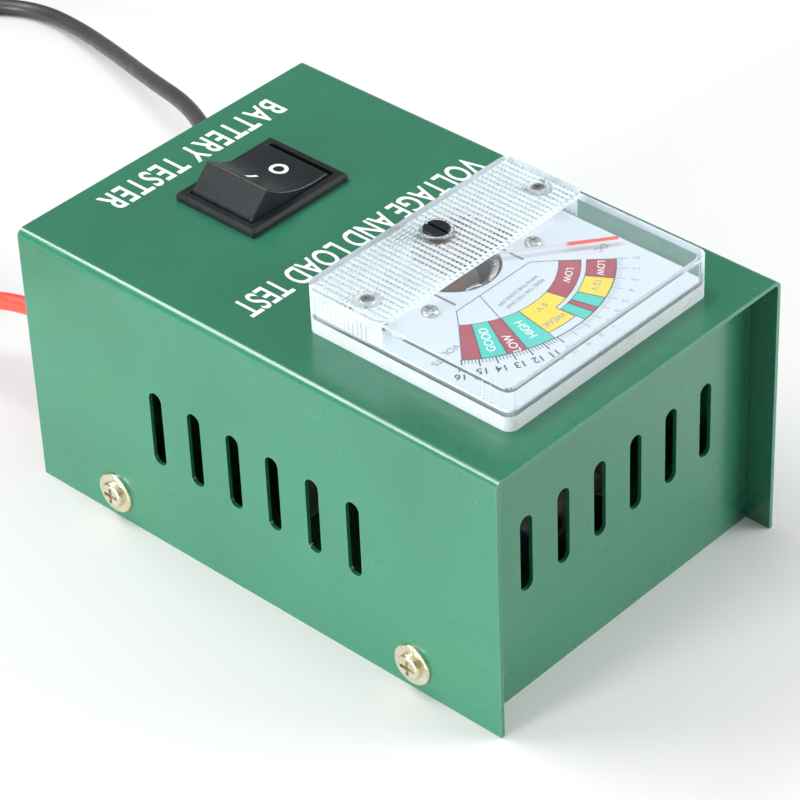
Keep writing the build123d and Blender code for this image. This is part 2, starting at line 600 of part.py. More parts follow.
def make_coil(route, full_turns):
    """Closed ring of the coil's outer shape."""
    centre, start, turns = coil_facts(route, full_turns)
    height = LEAD_DIAMETER + COIL_PITCH * turns
    outer = rod(centre.X, centre.Y, 0, height, COIL_RADIUS + LEAD_DIAMETER / 2 + 0.3)
    length = 2 * pi * COIL_RADIUS * turns
    print(f"coil: {turns:.3f} turns, length {length:.1f}")
    return outer - rod(centre.X, centre.Y, -1, height + 1, COIL_RADIUS - LEAD_DIAMETER / 2 - 0.3)


def make_relief(y):
    """Rubber strain relief: grooved collar in the end wall and a tapered sleeve outside it."""
    wall = -END_WALL_X
    sleeve = Cone(4.6, 3.1, RELIEF_LENGTH - 1.2)
    sleeve = Pos(wall - RELIEF_LENGTH / 2 - 0.6, y, LEAD_Z) * Rot(0, -90, 0) * sleeve
    flange = Pos(wall - 0.6, y, LEAD_Z) * Rot(0, 90, 0) * Cylinder(6.2, 1.2)
    neck = Pos(wall + 0.5, y, LEAD_Z) * Rot(0, 90, 0) * Cylinder(4.4, SHEET)
    inner = Pos(wall + 2.25, y, LEAD_Z) * Rot(0, 90, 0) * Cylinder(5.8, 2.5)
    return sleeve + flange + neck + inner


# ---- clips --------------------------------------------------------------------------------------
def clip_place(cord_end):
    """Place of a clip's own frame: its axis along the clip's heading, its handle on the cord's end."""
    end = Vector(*cord_end)
    frame = Rot(0, 0, CLIP_HEADING)
    reach = CLIP_HANDLE + CLIP_SLEEVE
    hand = heading(CLIP_HEADING) * reach + heading(CLIP_HEADING + 90) * -CLIP_TAIL_V
    return Pos(end.X + hand.X, end.Y + hand.Y, 0) * frame


def jaw_outline():
    """Side wall of a jaw in the clip's frame: handle, ear, throat and toothed nose."""
    points = [(-CLIP_HANDLE, -18.0), (-14.0, -11.5), (-4.0, -8.2), (12.0, -8.8), (CLIP_JAW, -4.6),
              (CLIP_JAW, -0.2)]
    teeth = 6
    pitch = 2.2
    for i in range(teeth):
        x = CLIP_JAW - pitch * i
        points += [(x - pitch / 2, -1.3), (x - pitch, -0.2)]
    points += [(22.0, -4.4), (11.0, -4.4), (7.0, -1.0), (5.0, 3.5), (-3.0, 4.5), (-7.0, 0.0),
               (-15.0, -6.5), (-CLIP_HANDLE, -13.0)]
    return points


def make_jaw(inset, mirrored):
    """Folded steel jaw: two side walls and a back, narrower by the inset at each side."""
    low = 0.8 + inset
    high = CLIP_WIDTH - 0.8 - inset
    outline = Polygon(*jaw_outline(), align=None)
    jaw = extrude(Plane.XY.offset(low) * outline, high - low)
    hollow = extrude(Plane.XY.offset(low + CLIP_WALL) * Pos(0, CLIP_WALL + 0.2) * outline,
                     high - low - 2 * CLIP_WALL)
    front = block(CLIP_JAW - 1.2, CLIP_JAW + 1, -10, 0, 0, CLIP_WIDTH)
    upper = block(-CLIP_HANDLE - 1, CLIP_JAW + 1, -1.6, 12, low + CLIP_WALL, high - CLIP_WALL)
    jaw = jaw - (hollow - front) - (upper - front)
    jaw -= rod(0, 0, 0, CLIP_WIDTH, CLIP_PIN_RADIUS + 0.05)
    return mirror(jaw, about=Plane.XZ) if mirrored else jaw


def make_grip(inset, mirrored):
    """Plastic sleeve over a handle, closed at its end."""
    inner = [(-CLIP_HANDLE - 0.05, -18.3), (-10.0, -10.5), (-10.0, -2.2), (-15.1, -6.3),
             (-CLIP_HANDLE - 0.05, -12.8)]
    wall = CLIP_SLEEVE
    outer = [(-CLIP_HANDLE - wall, -18.3 - wall), (-13.0, -12.6), (-13.0, -3.4),
             (-CLIP_HANDLE - wall, -12.8 + wall)]
    low = 0.75 + inset
    grip = extrude(Polygon(*outer, align=None), CLIP_WIDTH)
    grip = fillet(grip.edges().filter_by(Axis.Z).group_by(Axis.X)[0], 2.0)
    grip -= extrude(Plane.XY.offset(low) * Polygon(*inner, align=None), CLIP_WIDTH - 2 * low)
    return mirror(grip, about=Plane.XZ) if mirrored else grip


def make_clip_pin():
    """Rivet through both jaws."""
    pin = rod(0, 0, 0.3, CLIP_WIDTH - 0.3, CLIP_PIN_RADIUS)
    for z in (0.3, CLIP_WIDTH - 0.8):
        pin += rod(0, 0, z, z + 0.5, 2.8)
    return pin


def make_clip_spring():
    """Torsion spring round the rivet, as the closed shape of its coils, with one leg."""
    spring = rod(0, 0, 3.2, CLIP_WIDTH - 3.2, 3.2) - rod(0, 0, 0, CLIP_WIDTH, CLIP_PIN_RADIUS + 0.2)
    leg = Pos(-7.0, -4.2, 4.0) * Rot(0, 0, 28) * Rot(0, 90, 0) * Cylinder(0.5, 10.0)
    return spring + leg


# ---- build --------------------------------------------------------------------------------------
def build_case():
    save(make_top_cover(), "top_cover")
    save(make_chassis(), "base_chassis")
    number = 1
    for x in (-SCREW_X, SCREW_X):
        for side in (-1, 1):
            seat = Pos(x, side * CASE_WIDTH / 2, SCREW_Z) * Rot(side * -90, 0, 0)
            save(seat * make_cover_screw(), f"cover_screw_{number}")
            number += 1


def build_meter():
    save(make_meter_body(), "meter_body")
    save(make_meter_cover(), "meter_cover")
    save(make_meter_dial(), "meter_dial")
    save(make_magnet(), "magnet")
    save(make_iron_core(), "iron_core")
    save(make_movement_bridge(), "movement_bridge")
    save(make_jewel_screw(), "jewel_screw")
    save(make_moving_coil(), "moving_coil")
    save(make_pointer(), "pointer")
    save(make_zero_screw(), "zero_screw")
    save(make_zero_lever(), "zero_lever")
    save(make_meter_clamp(), "meter_clamp")
    for number, side in ((1, -1), (2, 1)):
        screw_z = TOP + RIBBED_HEIGHT - 1.9
        save(Pos(COVER_SCREW_X, side * COVER_SCREW_Y, screw_z) * make_meter_cover_screw(),
             f"meter_cover_screw_{number}")
        save(Pos(DIAL_SCREW_X, side * DIAL_SCREW_Y, TOP + DIAL_HEIGHT) * make_dial_screw(),
             f"dial_screw_{number}")
        save(make_meter_stud(side * STUD_Y), f"meter_stud_{number}")
        save(make_meter_nut(side * STUD_Y), f"meter_nut_{number}")


def build_switch():
    save(make_switch_housing(), "switch_housing")
    save(make_rocker(), "rocker")
    save(make_rocker_plunger(), "rocker_plunger")
    save(make_contact_arm(), "contact_arm")
    save(make_switch_terminal(0), "switch_terminal_pivot")
    save(make_switch_terminal(CONTACT_Y), "switch_terminal_contact")


def build_load():
    save(make_load_strip(), "load_strip")
    for number, x in ((1, STRIP_X0 + 6), (2, STRIP_X1 - 6)):
        save(make_ceramic_comb(x), f"ceramic_comb_{number}")
    places = strip_run_places()
    for number, y in ((1, places[0]), (2, places[-1])):
        save(make_load_bolt(y), f"load_bolt_{number}")
    save(tube(SUPPLY_WIRE, WIRE_DIAMETER, "supply wire"), "supply_wire")
    save(tube(LOAD_WIRE, WIRE_DIAMETER, "load wire"), "load_wire")
    save(tube(RETURN_WIRE, WIRE_DIAMETER, "return wire"), "return_wire")


def build_lead(colour, y, route, full_turns, tail_run):
    save(make_relief(y), f"{colour}_relief")
    save(tube(route, LEAD_DIAMETER, f"{colour} lead"), f"{colour}_lead")
    save(make_coil(route, full_turns), f"{colour}_lead_coil")
    tail = tail_route(route, full_turns, tail_run)
    save(tube(tail, LEAD_DIAMETER, f"{colour} tail"), f"{colour}_lead_tail")
    place = clip_place(tail[-1])
    print(f"{colour} clip pivot: {place.position}")
    save(place * make_jaw(0.0, False), f"{colour}_clip_jaw")
    save(place * make_grip(0.0, False), f"{colour}_clip_grip")
    save(place * make_jaw(1.0, True), f"{colour}_clip_moving_jaw")
    save(place * make_grip(1.0, True), f"{colour}_clip_moving_grip")
    save(place * make_clip_pin(), f"{colour}_clip_pin")
    save(place * make_clip_spring(), f"{colour}_clip_spring")


os.makedirs("parts", exist_ok=True)
build_case()
build_meter()
build_switch()
build_load()
build_lead("red", RED_Y, RED_ROUTE, RED_FULL_TURNS, RED_TAIL_RUN)
build_lead("black", BLACK_Y, BLACK_ROUTE, BLACK_FULL_TURNS, BLACK_TAIL_RUN)
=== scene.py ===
"""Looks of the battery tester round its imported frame: camera, light, leads, finishes and fine detail.

Sizes below are millimetres in the frame's own axes and become metres as each piece is made.
"""

import json
import math
from math import cos, radians, sin

import bmesh
import bpy
from mathutils import Matrix, Vector
from mathutils.bvhtree import BVHTree


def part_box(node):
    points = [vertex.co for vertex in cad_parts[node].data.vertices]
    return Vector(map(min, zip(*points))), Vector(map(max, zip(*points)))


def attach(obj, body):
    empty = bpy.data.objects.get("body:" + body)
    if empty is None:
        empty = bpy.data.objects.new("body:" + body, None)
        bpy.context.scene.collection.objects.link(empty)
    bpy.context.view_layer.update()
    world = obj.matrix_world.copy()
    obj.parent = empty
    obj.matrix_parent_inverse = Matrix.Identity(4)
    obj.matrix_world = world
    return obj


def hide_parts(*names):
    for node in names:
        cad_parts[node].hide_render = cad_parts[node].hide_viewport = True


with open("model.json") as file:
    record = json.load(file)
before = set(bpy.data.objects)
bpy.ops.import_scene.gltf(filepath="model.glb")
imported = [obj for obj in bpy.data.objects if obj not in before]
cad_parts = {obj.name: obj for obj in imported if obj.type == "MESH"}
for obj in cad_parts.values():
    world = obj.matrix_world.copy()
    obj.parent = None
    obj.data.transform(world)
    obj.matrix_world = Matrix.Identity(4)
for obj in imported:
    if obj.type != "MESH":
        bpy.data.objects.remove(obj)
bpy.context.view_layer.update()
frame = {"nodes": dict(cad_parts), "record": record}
nodes = frame["nodes"]
scene = bpy.context.scene
MM = 0.001

# ---- camera -------------------------------------------------------------------------------------
CAMERA_PLACE = (450.5, -465.0, 515.7)
CAMERA_AZIMUTH = 44.07
CAMERA_ELEVATION = 36.924
CAMERA_ROLL = -2.505
CAMERA_LENS = 158.06

# ---- case ---------------------------------------------------------------------------------------
CASE_TOP = 70.0
ROCKER_X = -40.7
INK = 0.03                      # thickness of a printed layer

# ---- lights and floor, in metres and watts -------------------------------------------------------
LIGHT_TARGET = (0.0, 0.0, 0.03)
LIGHTS = (                      # name, place, size, power
    ("key", (-0.12, -1.10, 0.18), (0.32, 0.40), 18.0),
    ("fill", (0.68, 0.62, 0.24), (0.6, 0.4), 9.0),
    ("overhead", (0.0, 0.0, 1.30), (1.3, 1.3), 5.5),
    ("strip", (-0.61, -0.25, 0.88), (0.8, 0.25), 8.0),
    ("back", (0.45, 0.75, 0.95), (0.8, 0.6), 2.2),
)
SKY_COLOUR, SKY_STRENGTH = (0.97, 0.985, 1.0), 0.33
FLOOR_GREY = 0.70
FLOOR_HALF = 4.0

# ---- leads --------------------------------------------------------------------------------------
LEAD_DIAMETER = 4.4
COIL_RADIUS = 23.0
COIL_PITCH = 4.8
COIL_POINTS = 16                # control points to one turn
COIL_EXIT_HEADING = 286.0
CLIP_HEADING = 270.0
HANDLE_Z = 6.5
RELIEF_WALL = 65.5              # distance of the lead end's outer face from the case's middle
RELIEF_TAPER = 12.0             # length of the part with rings
RELIEF_RINGS = 6
SPRING_TURNS = 5.5
SPRING_WIRE = 0.45              # radius
SPRING_RADIUS = 2.7
SPRING_PITCH = 0.945
GRIP_RIBS = 9
GRIP_RIB_PITCH = 2.1
GRIP_TAIL, GRIP_NOSE = (-39.2, -19.5), (-13.0, -12.6)   # outer side of a grip, from the rivet
GRIP_Z0, GRIP_Z1 = 1.6, 11.4
RED_ROUTE = [
    (-80.5, -25.6, 28.0),
    (-93.0, -26.4, 27.0),
    (-110.0, -29.2, 24.5),
    (-126.0, -32.4, 12.4),
    (-141.0, -34.8, 3.0),
    (-156.0, -37.4, 2.2),
]
BLACK_ROUTE = [
    (-80.5, 30.0, 28.0),
    (-97.0, 31.5, 28.2),
    (-111.5, 50.7, 27.5),
    (-132.0, 63.0, 25.1),
    (-160.0, 73.6, 18.0),
    (-185.0, 84.8, 10.7),
    (-210.0, 94.0, 4.8),
    (-229.5, 97.0, 2.2),
    (-243.0, 90.5, 2.2),
    (-254.0, 77.0, 2.2),
    (-271.0, 58.0, 2.2),
]

# ---- meter --------------------------------------------------------------------------------------
PIVOT_X = 18.5
DIAL_TOP = 74.7
SCALE_START, SCALE_END = -43.2, 45.5    # angles of the first and the last mark
FIRST_PATCH = -43.0             # angle where the coloured bands start
INNER_RING, LOWER_RING = 23.1, 28.0     # radii of the lower band
UPPER_RING, OUTER_RING = 29.2, 35.7     # radii of the upper band
YELLOW_RING, YELLOW_START = 33.3, -3.7  # the yellow patch that joins the two bands
LAST_YELLOW = 10.7
LAST_PATCH = 45.3
RULE_X = 30.9                   # the straight rule below the bands
OUTLINE = 0.16                  # width of a fine printed line
POINTER_Z = 76.0
RED_FROM = 25.5                 # radius where the red of the pointer starts
STRAPS = ((-62.0, -8.0, 0.7), (4.0, 34.0, 0.55))     # start, end and half width of each strap
STRAP_RADIUS = 9.4
STRAP_Z, STRAP_RISE = 73.4, 1.1
HAIRSPRING_Z = 75.05
MOVEMENT_REACH = 11.5           # the prisms over the movement are painted darker between their rows: painted shade
FAINT_BELOW = 10.0              # the low end of the scale is printed pale
BAND_X0, BAND_X1 = 6.1, 27.3    # inside of the ribbed band
BAND_HALF = 32.0
BAND_CEILING = 79.5
FLUTE_TOP = 79.0
BAND_FLOOR = 74.6
COVER_SEAT = 73.8               # the cover stands on the base here
CELL_X, CELL_Y = 1.12, 1.68     # pitch of the blunt prisms under the ribbed band
CELL_SHARE_X, CELL_SHARE_Y = 0.32, 0.29     # half size of a prism's flat foot, in pitches
PRISM_DEPTH = 0.7
PRISM_ROOT = 80.9
FLUTES = 16                     # fine ribs inside each end of the band
LOCATING_RIBS = (55.2, 57.4)    # moulded ribs on the inside of the near wall
LOCATING_RIB_WIDTH = 0.5
COLLAR_INNER, COLLAR_OUTER = 3.32, 4.1
SCREW_POST = (18.9, 28.0)
ZERO_SCREW_X = 13.7
BAND_TOP = 82.3

SQUARE = ((-1, -1), (1, -1), (1, 1), (-1, 1))   # corners in order


# ---- small helpers ------------------------------------------------------------------------------
def link(name, data):
    """Object with that data, in the scene."""
    made = bpy.data.objects.new(name, data)
    scene.collection.objects.link(made)
    return made


def finished_piece(name, bm, finish, body, smooth=False):
    """Piece from a bmesh in millimetres, riding on its body."""
    bmesh.ops.scale(bm, vec=(MM, MM, MM), verts=bm.verts)
    mesh = bpy.data.meshes.new(name)
    bm.to_mesh(mesh)
    bm.free()
    mesh.materials.append(finish)
    if smooth:
        mesh.shade_smooth()
    piece = link(name, mesh)
    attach(piece, body)
    return piece


def add_prism(bm, outline, z0, z1):
    """Closed upright prism over an outline of (x, y) points."""
    low = [bm.verts.new((x, y, z0)) for x, y in outline]
    high = [bm.verts.new((x, y, z1)) for x, y in outline]
    faces = [bm.faces.new(low[::-1]), bm.faces.new(high)]
    for i in range(len(outline)):
        j = (i + 1) % len(outline)
        faces.append(bm.faces.new((low[i], low[j], high[j], high[i])))
    bmesh.ops.recalc_face_normals(bm, faces=faces)


def circle(x, y, radius, count=48):
    """Outline of a circle."""
    return [(x + radius * cos(2 * math.pi * i / count), y + radius * sin(2 * math.pi * i / count))
            for i in range(count)]


def lathe(bm, profile, place, steps=48):
    """Closed solid turned about the local Z axis from (radius, z) points, then put in its place."""
    rings = []
    for radius, z in profile:
        ring = [bm.verts.new(place @ Vector((radius * cos(2 * math.pi * i / steps),
                                             radius * sin(2 * math.pi * i / steps), z)))
                for i in range(steps)]
        rings.append(ring)
    faces = [bm.faces.new(rings[0][::-1]), bm.faces.new(rings[-1])]
    for low, high in zip(rings, rings[1:]):
        for i in range(steps):
            j = (i + 1) % steps
            faces.append(bm.faces.new((low[i], low[j], high[j], high[i])))
    bmesh.ops.recalc_face_normals(bm, faces=faces)


def add_ribbon(bm, points, across, thickness):
    """Closed strip of sheet along a line of points; across is half its width."""
    sections = []
    for i, point in enumerate(points):
        run = points[min(i + 1, len(points) - 1)] - points[max(i - 1, 0)]
        side = across(point) if callable(across) else across
        lift = run.cross(side).normalized() * thickness / 2
        sections.append([bm.verts.new(point + side * u + lift * w) for u, w in SQUARE])
    faces = [bm.faces.new(sections[0][::-1]), bm.faces.new(sections[-1])]
    for low, high in zip(sections, sections[1:]):
        for k in range(4):
            faces.append(bm.faces.new((low[k], low[k - 3], high[k - 3], high[k])))
    bmesh.ops.recalc_face_normals(bm, faces=faces)


def wire_piece(name, points, radius, finish, body, steps=4, roundness=3):
    """Round wire through points in millimetres, as a smooth curve."""
    curve = bpy.data.curves.new(name, "CURVE")
    curve.dimensions = "3D"
    spline = curve.splines.new("NURBS")
    spline.points.add(len(points) - 1)
    for point, place in zip(spline.points, points):
        point.co = (*(place * MM), 1)
    spline.order_u = 3
    spline.use_endpoint_u = True
    spline.resolution_u = steps
    curve.bevel_depth = radius * MM
    curve.bevel_resolution = roundness
    curve.use_fill_caps = True
    curve.materials.append(finish)
    piece = link(name, curve)
    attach(piece, body)
    return piece


def letter_mesh(words, weight, depth, spacing):
    """Mesh of a line of letters, one unit of type high, centred on the origin along the line."""
    curve = bpy.data.curves.new("letters", "FONT")
    curve.body = words
    curve.align_x = "CENTER"
    curve.align_y = "CENTER"
    curve.offset = weight
    curve.space_character = spacing
    curve.space_word = 2 - spacing
    curve.extrude = depth
    curve.resolution_u = 6
    text = bpy.data.objects.new("letters", curve)
    mesh = bpy.data.meshes.new_from_object(text)
    bpy.data.objects.remove(text)
    bpy.data.curves.remove(curve)
    return mesh


def add_letters(bm, words, place, width=None, height=1.0, weight=0.0, spacing=1.0):
    """Letters fitted to a height, and to a width if one is given, then put in their place."""
    mesh = letter_mesh(words, weight, 0.5, spacing)
    corners = [v.co for v in mesh.vertices]
    low = Vector([min(c[i] for c in corners) for i in range(3)])
    high = Vector([max(c[i] for c in corners) for i in range(3)])
    span = high - low
    middle = (high + low) / 2
    grow_y = height / span.y
    grow_x = width / span.x if width else grow_y
    fit = Matrix.Diagonal((grow_x, grow_y, INK / span.z, 1)) @ Matrix.Translation(-middle)
    mesh.transform(place @ fit)
    bm.from_mesh(mesh)
    bpy.data.meshes.remove(mesh)


def reader_place(x, y, z, turn=0.0):
    """Place of print whose lines run towards -Y with their tops towards +X, turned clockwise."""
    return Matrix.Translation((x, y, z)) @ Matrix.Rotation(radians(-90 - turn), 4, "Z")


def apply_boolean(target, tool, operation="DIFFERENCE"):
    """Cut or join target with tool, keep the result as its mesh and remove the tool."""
    modifier = target.modifiers.new("cut", "BOOLEAN")
    modifier.operation = operation
    modifier.solver = "EXACT"
    modifier.object = tool
    graph = bpy.context.evaluated_depsgraph_get()
    result = bpy.data.meshes.new_from_object(target.evaluated_get(graph))
    target.modifiers.clear()
    old = target.data
    target.data = result
    bpy.data.meshes.remove(old)
    bpy.data.objects.remove(tool)


def tool_object(bm):
    """Object in millimetres for a boolean."""
    mesh = bpy.data.meshes.new("tool")
    bm.to_mesh(mesh)
    bm.free()
    return link("tool", mesh)


# ---- camera, light and floor --------------------------------------------------------------------
def make_camera():
    """Camera from its place, azimuth, elevation and roll."""
    azimuth = radians(CAMERA_AZIMUTH)
    elevation = radians(CAMERA_ELEVATION)
    roll = radians(CAMERA_ROLL)
    back = Vector((sin(azimuth) * cos(elevation), -cos(azimuth) * cos(elevation), sin(elevation)))
    level = Vector((0, 0, 1)).cross(back).normalized()
    up = back.cross(level)
    right = cos(roll) * level + sin(roll) * up
    up = cos(roll) * up - sin(roll) * level
    data = bpy.data.cameras.new("camera")
    data.lens = CAMERA_LENS
    data.sensor_width = 36.0
    data.clip_start = 0.01
    camera = link("camera", data)
    turn = Matrix((right, up, back)).transposed().to_4x4()
    camera.matrix_world = Matrix.Translation(Vector(CAMERA_PLACE) * MM) @ turn
    scene.camera = camera


def area_light(name, place, target, size, power):
    """Soft rectangular light aimed at a point."""
    data = bpy.data.lights.new(name, "AREA")
    data.shape = "RECTANGLE"
    data.size, data.size_y = size
    data.energy = power
    light = link(name, data)
    aim = Vector(place) - Vector(target)
    light.matrix_world = Matrix.Translation(place) @ aim.to_track_quat("Z", "Y").to_matrix().to_4x4()


def make_studio():
    """Sky, lights and the white floor."""
    world = bpy.data.worlds.new("studio")
    world.use_nodes = True
    sky = world.node_tree.nodes["Background"]
    sky.inputs["Color"].default_value = (*SKY_COLOUR, 1)
    sky.inputs["Strength"].default_value = SKY_STRENGTH
    scene.world = world
    scene.view_settings.view_transform = "Standard"
    for name, place, size, power in LIGHTS:
        area_light(name, place, LIGHT_TARGET, size, power)
    bm = bmesh.new()
    bmesh.ops.create_grid(bm, x_segments=8, y_segments=8, size=FLOOR_HALF)
    mesh = bpy.data.meshes.new("floor")
    bm.to_mesh(mesh)
    bm.free()
    floor = link("floor", mesh)
    finish = Finish("floor_paper")
    finish.set(Base_Color=(FLOOR_GREY,) * 3, Roughness=0.6, Specular_IOR_Level=0.2)
    mesh.materials.append(finish.material)


# ---- finishes -----------------------------------------------------------------------------------
class Finish:
    """One procedural material: short calls for the nodes that the finishes share."""

    def __init__(self, name):
        self.material = bpy.data.materials.new(name)
        self.material.use_nodes = True
        self.nodes = self.material.node_tree.nodes
        self.links = self.material.node_tree.links
        self.shader = self.nodes["Principled BSDF"]
        self.place = self.nodes.new("ShaderNodeTexCoord").outputs["Object"]

    def wire(self, value, socket):
        """Link an output to a socket, or set a plain value on it."""
        if isinstance(value, bpy.types.NodeSocket):
            self.links.new(value, socket)
        else:
            socket.default_value = (*value, 1) if isinstance(value, tuple) and len(value) == 3 \
                and len(socket.default_value) == 4 else value

    def set(self, **values):
        """Inputs of the main shader, by name with spaces as underscores."""
        for name, value in values.items():
            self.wire(value, self.shader.inputs[name.replace("_", " ")])

    def noise(self, scale, detail=4.0, roughness=0.55, stretch=None):
        """Noise in the object's own space; stretch squeezes it along the axes."""
        node = self.nodes.new("ShaderNodeTexNoise")
        node.inputs["Scale"].default_value = scale
        node.inputs["Detail"].default_value = detail
        node.inputs["Roughness"].default_value = roughness
        place = self.place
        if stretch:
            mapping = self.nodes.new("ShaderNodeMapping")
            mapping.inputs["Scale"].default_value = stretch
            self.links.new(self.place, mapping.inputs["Vector"])
            place = mapping.outputs["Vector"]
        self.links.new(place, node.inputs["Vector"])
        return node.outputs["Fac"]

    def specks(self, scale, radius):
        """Small round specks, far apart: 1 inside a speck and 0 outside."""
        node = self.nodes.new("ShaderNodeTexVoronoi")
        node.inputs["Scale"].default_value = scale
        self.links.new(self.place, node.inputs["Vector"])
        return self.span(node.outputs["Distance"], radius, radius * 0.5, 0.0, 1.0)

    def wave(self, scale, direction, distortion=0.0):
        """Parallel bands across one axis."""
        node = self.nodes.new("ShaderNodeTexWave")
        node.bands_direction = direction
        node.inputs["Scale"].default_value = scale
        node.inputs["Distortion"].default_value = distortion
        self.links.new(self.place, node.inputs["Vector"])
        return node.outputs["Fac"]

    def span(self, value, from_low, from_high, to_low, to_high):
        """Value moved from one range to another, and held inside it."""
        node = self.nodes.new("ShaderNodeMapRange")
        self.wire(value, node.inputs["Value"])
        for name, number in (("From Min", from_low), ("From Max", from_high),
                             ("To Min", to_low), ("To Max", to_high)):
            node.inputs[name].default_value = number
        return node.outputs["Result"]

    def maths(self, operation, a, b):
        node = self.nodes.new("ShaderNodeMath")
        node.operation = operation
        self.wire(a, node.inputs[0])
        self.wire(b, node.inputs[1])
        return node.outputs["Value"]

    def blend(self, amount, a, b):
        """Colour between a and b."""
        node = self.nodes.new("ShaderNodeMix")
        node.data_type = "RGBA"
        self.wire(amount, node.inputs[0])
        self.wire(a, node.inputs[6])
        self.wire(b, node.inputs[7])
        return node.outputs[2]

    def edges(self, radius):
        """1 on sharp edges and 0 on flats, from how much a bevel would turn the surface."""
        bevel = self.nodes.new("ShaderNodeBevel")
        bevel.samples = 4
        bevel.inputs["Radius"].default_value = radius
        flat = self.nodes.new("ShaderNodeNewGeometry")
        turn = self.nodes.new("ShaderNodeVectorMath")
        turn.operation = "DOT_PRODUCT"
        self.links.new(bevel.outputs["Normal"], turn.inputs[0])
        self.links.new(flat.outputs["Normal"], turn.inputs[1])
        return self.span(turn.outputs["Value"], 0.98, 0.75, 0.0, 1.0)

    def bump(self, height, strength, distance):
        node = self.nodes.new("ShaderNodeBump")
        node.inputs["Strength"].default_value = strength
        node.inputs["Distance"].default_value = distance
        self.wire(height, node.inputs["Height"])
        self.set(Normal=node.outputs["Normal"])


def paint_finish():
    """Glossy green enamel: fine orange peel, cloudy depth, dust specks and paler edges, part wear and
    part painted highlight.
    """
    f = Finish("case_paint")
    cloud = f.span(f.noise(22.0, 5.0), 0.3, 0.7, 0.0, 1.0)
    green = f.blend(cloud, (0.011, 0.135, 0.071), (0.015, 0.165, 0.088))
    dusty = f.blend(f.maths("MULTIPLY", f.specks(140.0, 0.035), 0.3), green, (0.42, 0.55, 0.48))
    # paler edges: partly worn paint, partly a painted highlight along the bends
    wear_and_highlight = f.maths("MULTIPLY", f.edges(0.0005), f.span(f.noise(160.0), 0.4, 0.7, 0.1, 0.55))
    f.set(Base_Color=f.blend(wear_and_highlight, dusty, (0.16, 0.42, 0.27)))
    f.set(Roughness=f.span(f.noise(60.0, 6.0), 0.3, 0.75, 0.24, 0.36))
    f.set(Coat_Weight=0.6, Coat_Roughness=0.16)
    f.bump(f.noise(620.0, 3.0), 0.08, 0.0003)
    return f.material


def zinc_finish():
    """Yellow passivated zinc: pale gold with a faint rainbow cast and fine scratches."""
    f = Finish("zinc_screw")
    cast = f.span(f.noise(260.0, 3.0), 0.35, 0.65, 0.0, 1.0)
    gold = f.blend(cast, (0.72, 0.66, 0.42), (0.80, 0.74, 0.62))
    tinted = f.blend(f.span(f.noise(500.0, 2.0), 0.45, 0.7, 0.0, 0.35), gold, (0.60, 0.66, 0.50))
    f.set(Base_Color=tinted, Metallic=1.0, Roughness=f.span(f.noise(900.0, 5.0), 0.3, 0.7, 0.2, 0.42))
    f.bump(f.noise(2600.0, 4.0, stretch=(1.0, 0.15, 1.0)), 0.15, 0.00008)
    return f.material


def metal_finish(name, dark, pale, roughness, grain=1800.0, stretch=(1.0, 0.1, 1.0), tint=None):
    """Bare or plated metal with a brushed grain, soft stains and a painted highlight on its edges."""
    f = Finish(name)
    stain = f.span(f.noise(140.0, 5.0), 0.3, 0.7, 0.0, 1.0)
    colour = f.blend(stain, dark, pale)
    if tint:
        colour = f.blend(f.span(f.noise(45.0, 3.0), 0.45, 0.7, 0.0, 0.7), colour, tint)
    # edges blended towards near white: a painted highlight
    edge_highlight = f.maths("MULTIPLY", f.edges(0.00025), 0.4)
    f.set(Base_Color=f.blend(edge_highlight, colour, (0.9, 0.9, 0.88)), Metallic=1.0)
    f.set(Roughness=f.span(f.noise(grain * 0.4, 6.0, stretch=stretch), 0.3, 0.7,
                           roughness * 0.75, roughness * 1.35))
    f.bump(f.noise(grain, 5.0, stretch=stretch), 0.2, 0.00006)
    return f.material


def plastic_finish(name, dark, pale, roughness, grain, bump, sheen, scuff_and_sheen_colour, gloss=0.5):
    """Moulded plastic: slight cloud, fine mould grain, paler edges that are part scuff and part painted
    sheen.
    """
    f = Finish(name)
    cloud = f.span(f.noise(55.0, 4.0), 0.3, 0.7, 0.0, 1.0)
    colour = f.blend(cloud, dark, pale)
    # paler edges: partly scuffs, partly a painted sheen
    scuff_and_sheen = f.maths("MULTIPLY", f.edges(0.0004), f.span(f.noise(300.0), 0.35, 0.7, 0.05, sheen))
    f.set(Base_Color=f.blend(scuff_and_sheen, colour, scuff_and_sheen_colour), Specular_IOR_Level=gloss)
    f.set(Roughness=f.span(f.noise(grain * 0.2, 5.0), 0.3, 0.7, roughness * 0.8, roughness * 1.25))
    f.bump(f.noise(grain, 3.0), bump, 0.00012)
    return f.material


def wire_finish(name, dark, pale, roughness):
    """Flexible insulation: soft gloss, faint draw lines and a little dust."""
    f = Finish(name)
    cloud = f.span(f.noise(90.0, 4.0), 0.3, 0.7, 0.0, 1.0)
    dust = f.maths("MULTIPLY", f.specks(700.0, 0.12), 0.25)
    f.set(Base_Color=f.blend(dust, f.blend(cloud, dark, pale), (0.6, 0.6, 0.58)))
    f.set(Roughness=f.span(f.noise(400.0, 5.0), 0.3, 0.7, roughness * 0.8, roughness * 1.2))
    f.set(Coat_Weight=0.15, Coat_Roughness=0.3)
    f.bump(f.noise(1500.0, 3.0), 0.12, 0.0001)
    return f.material


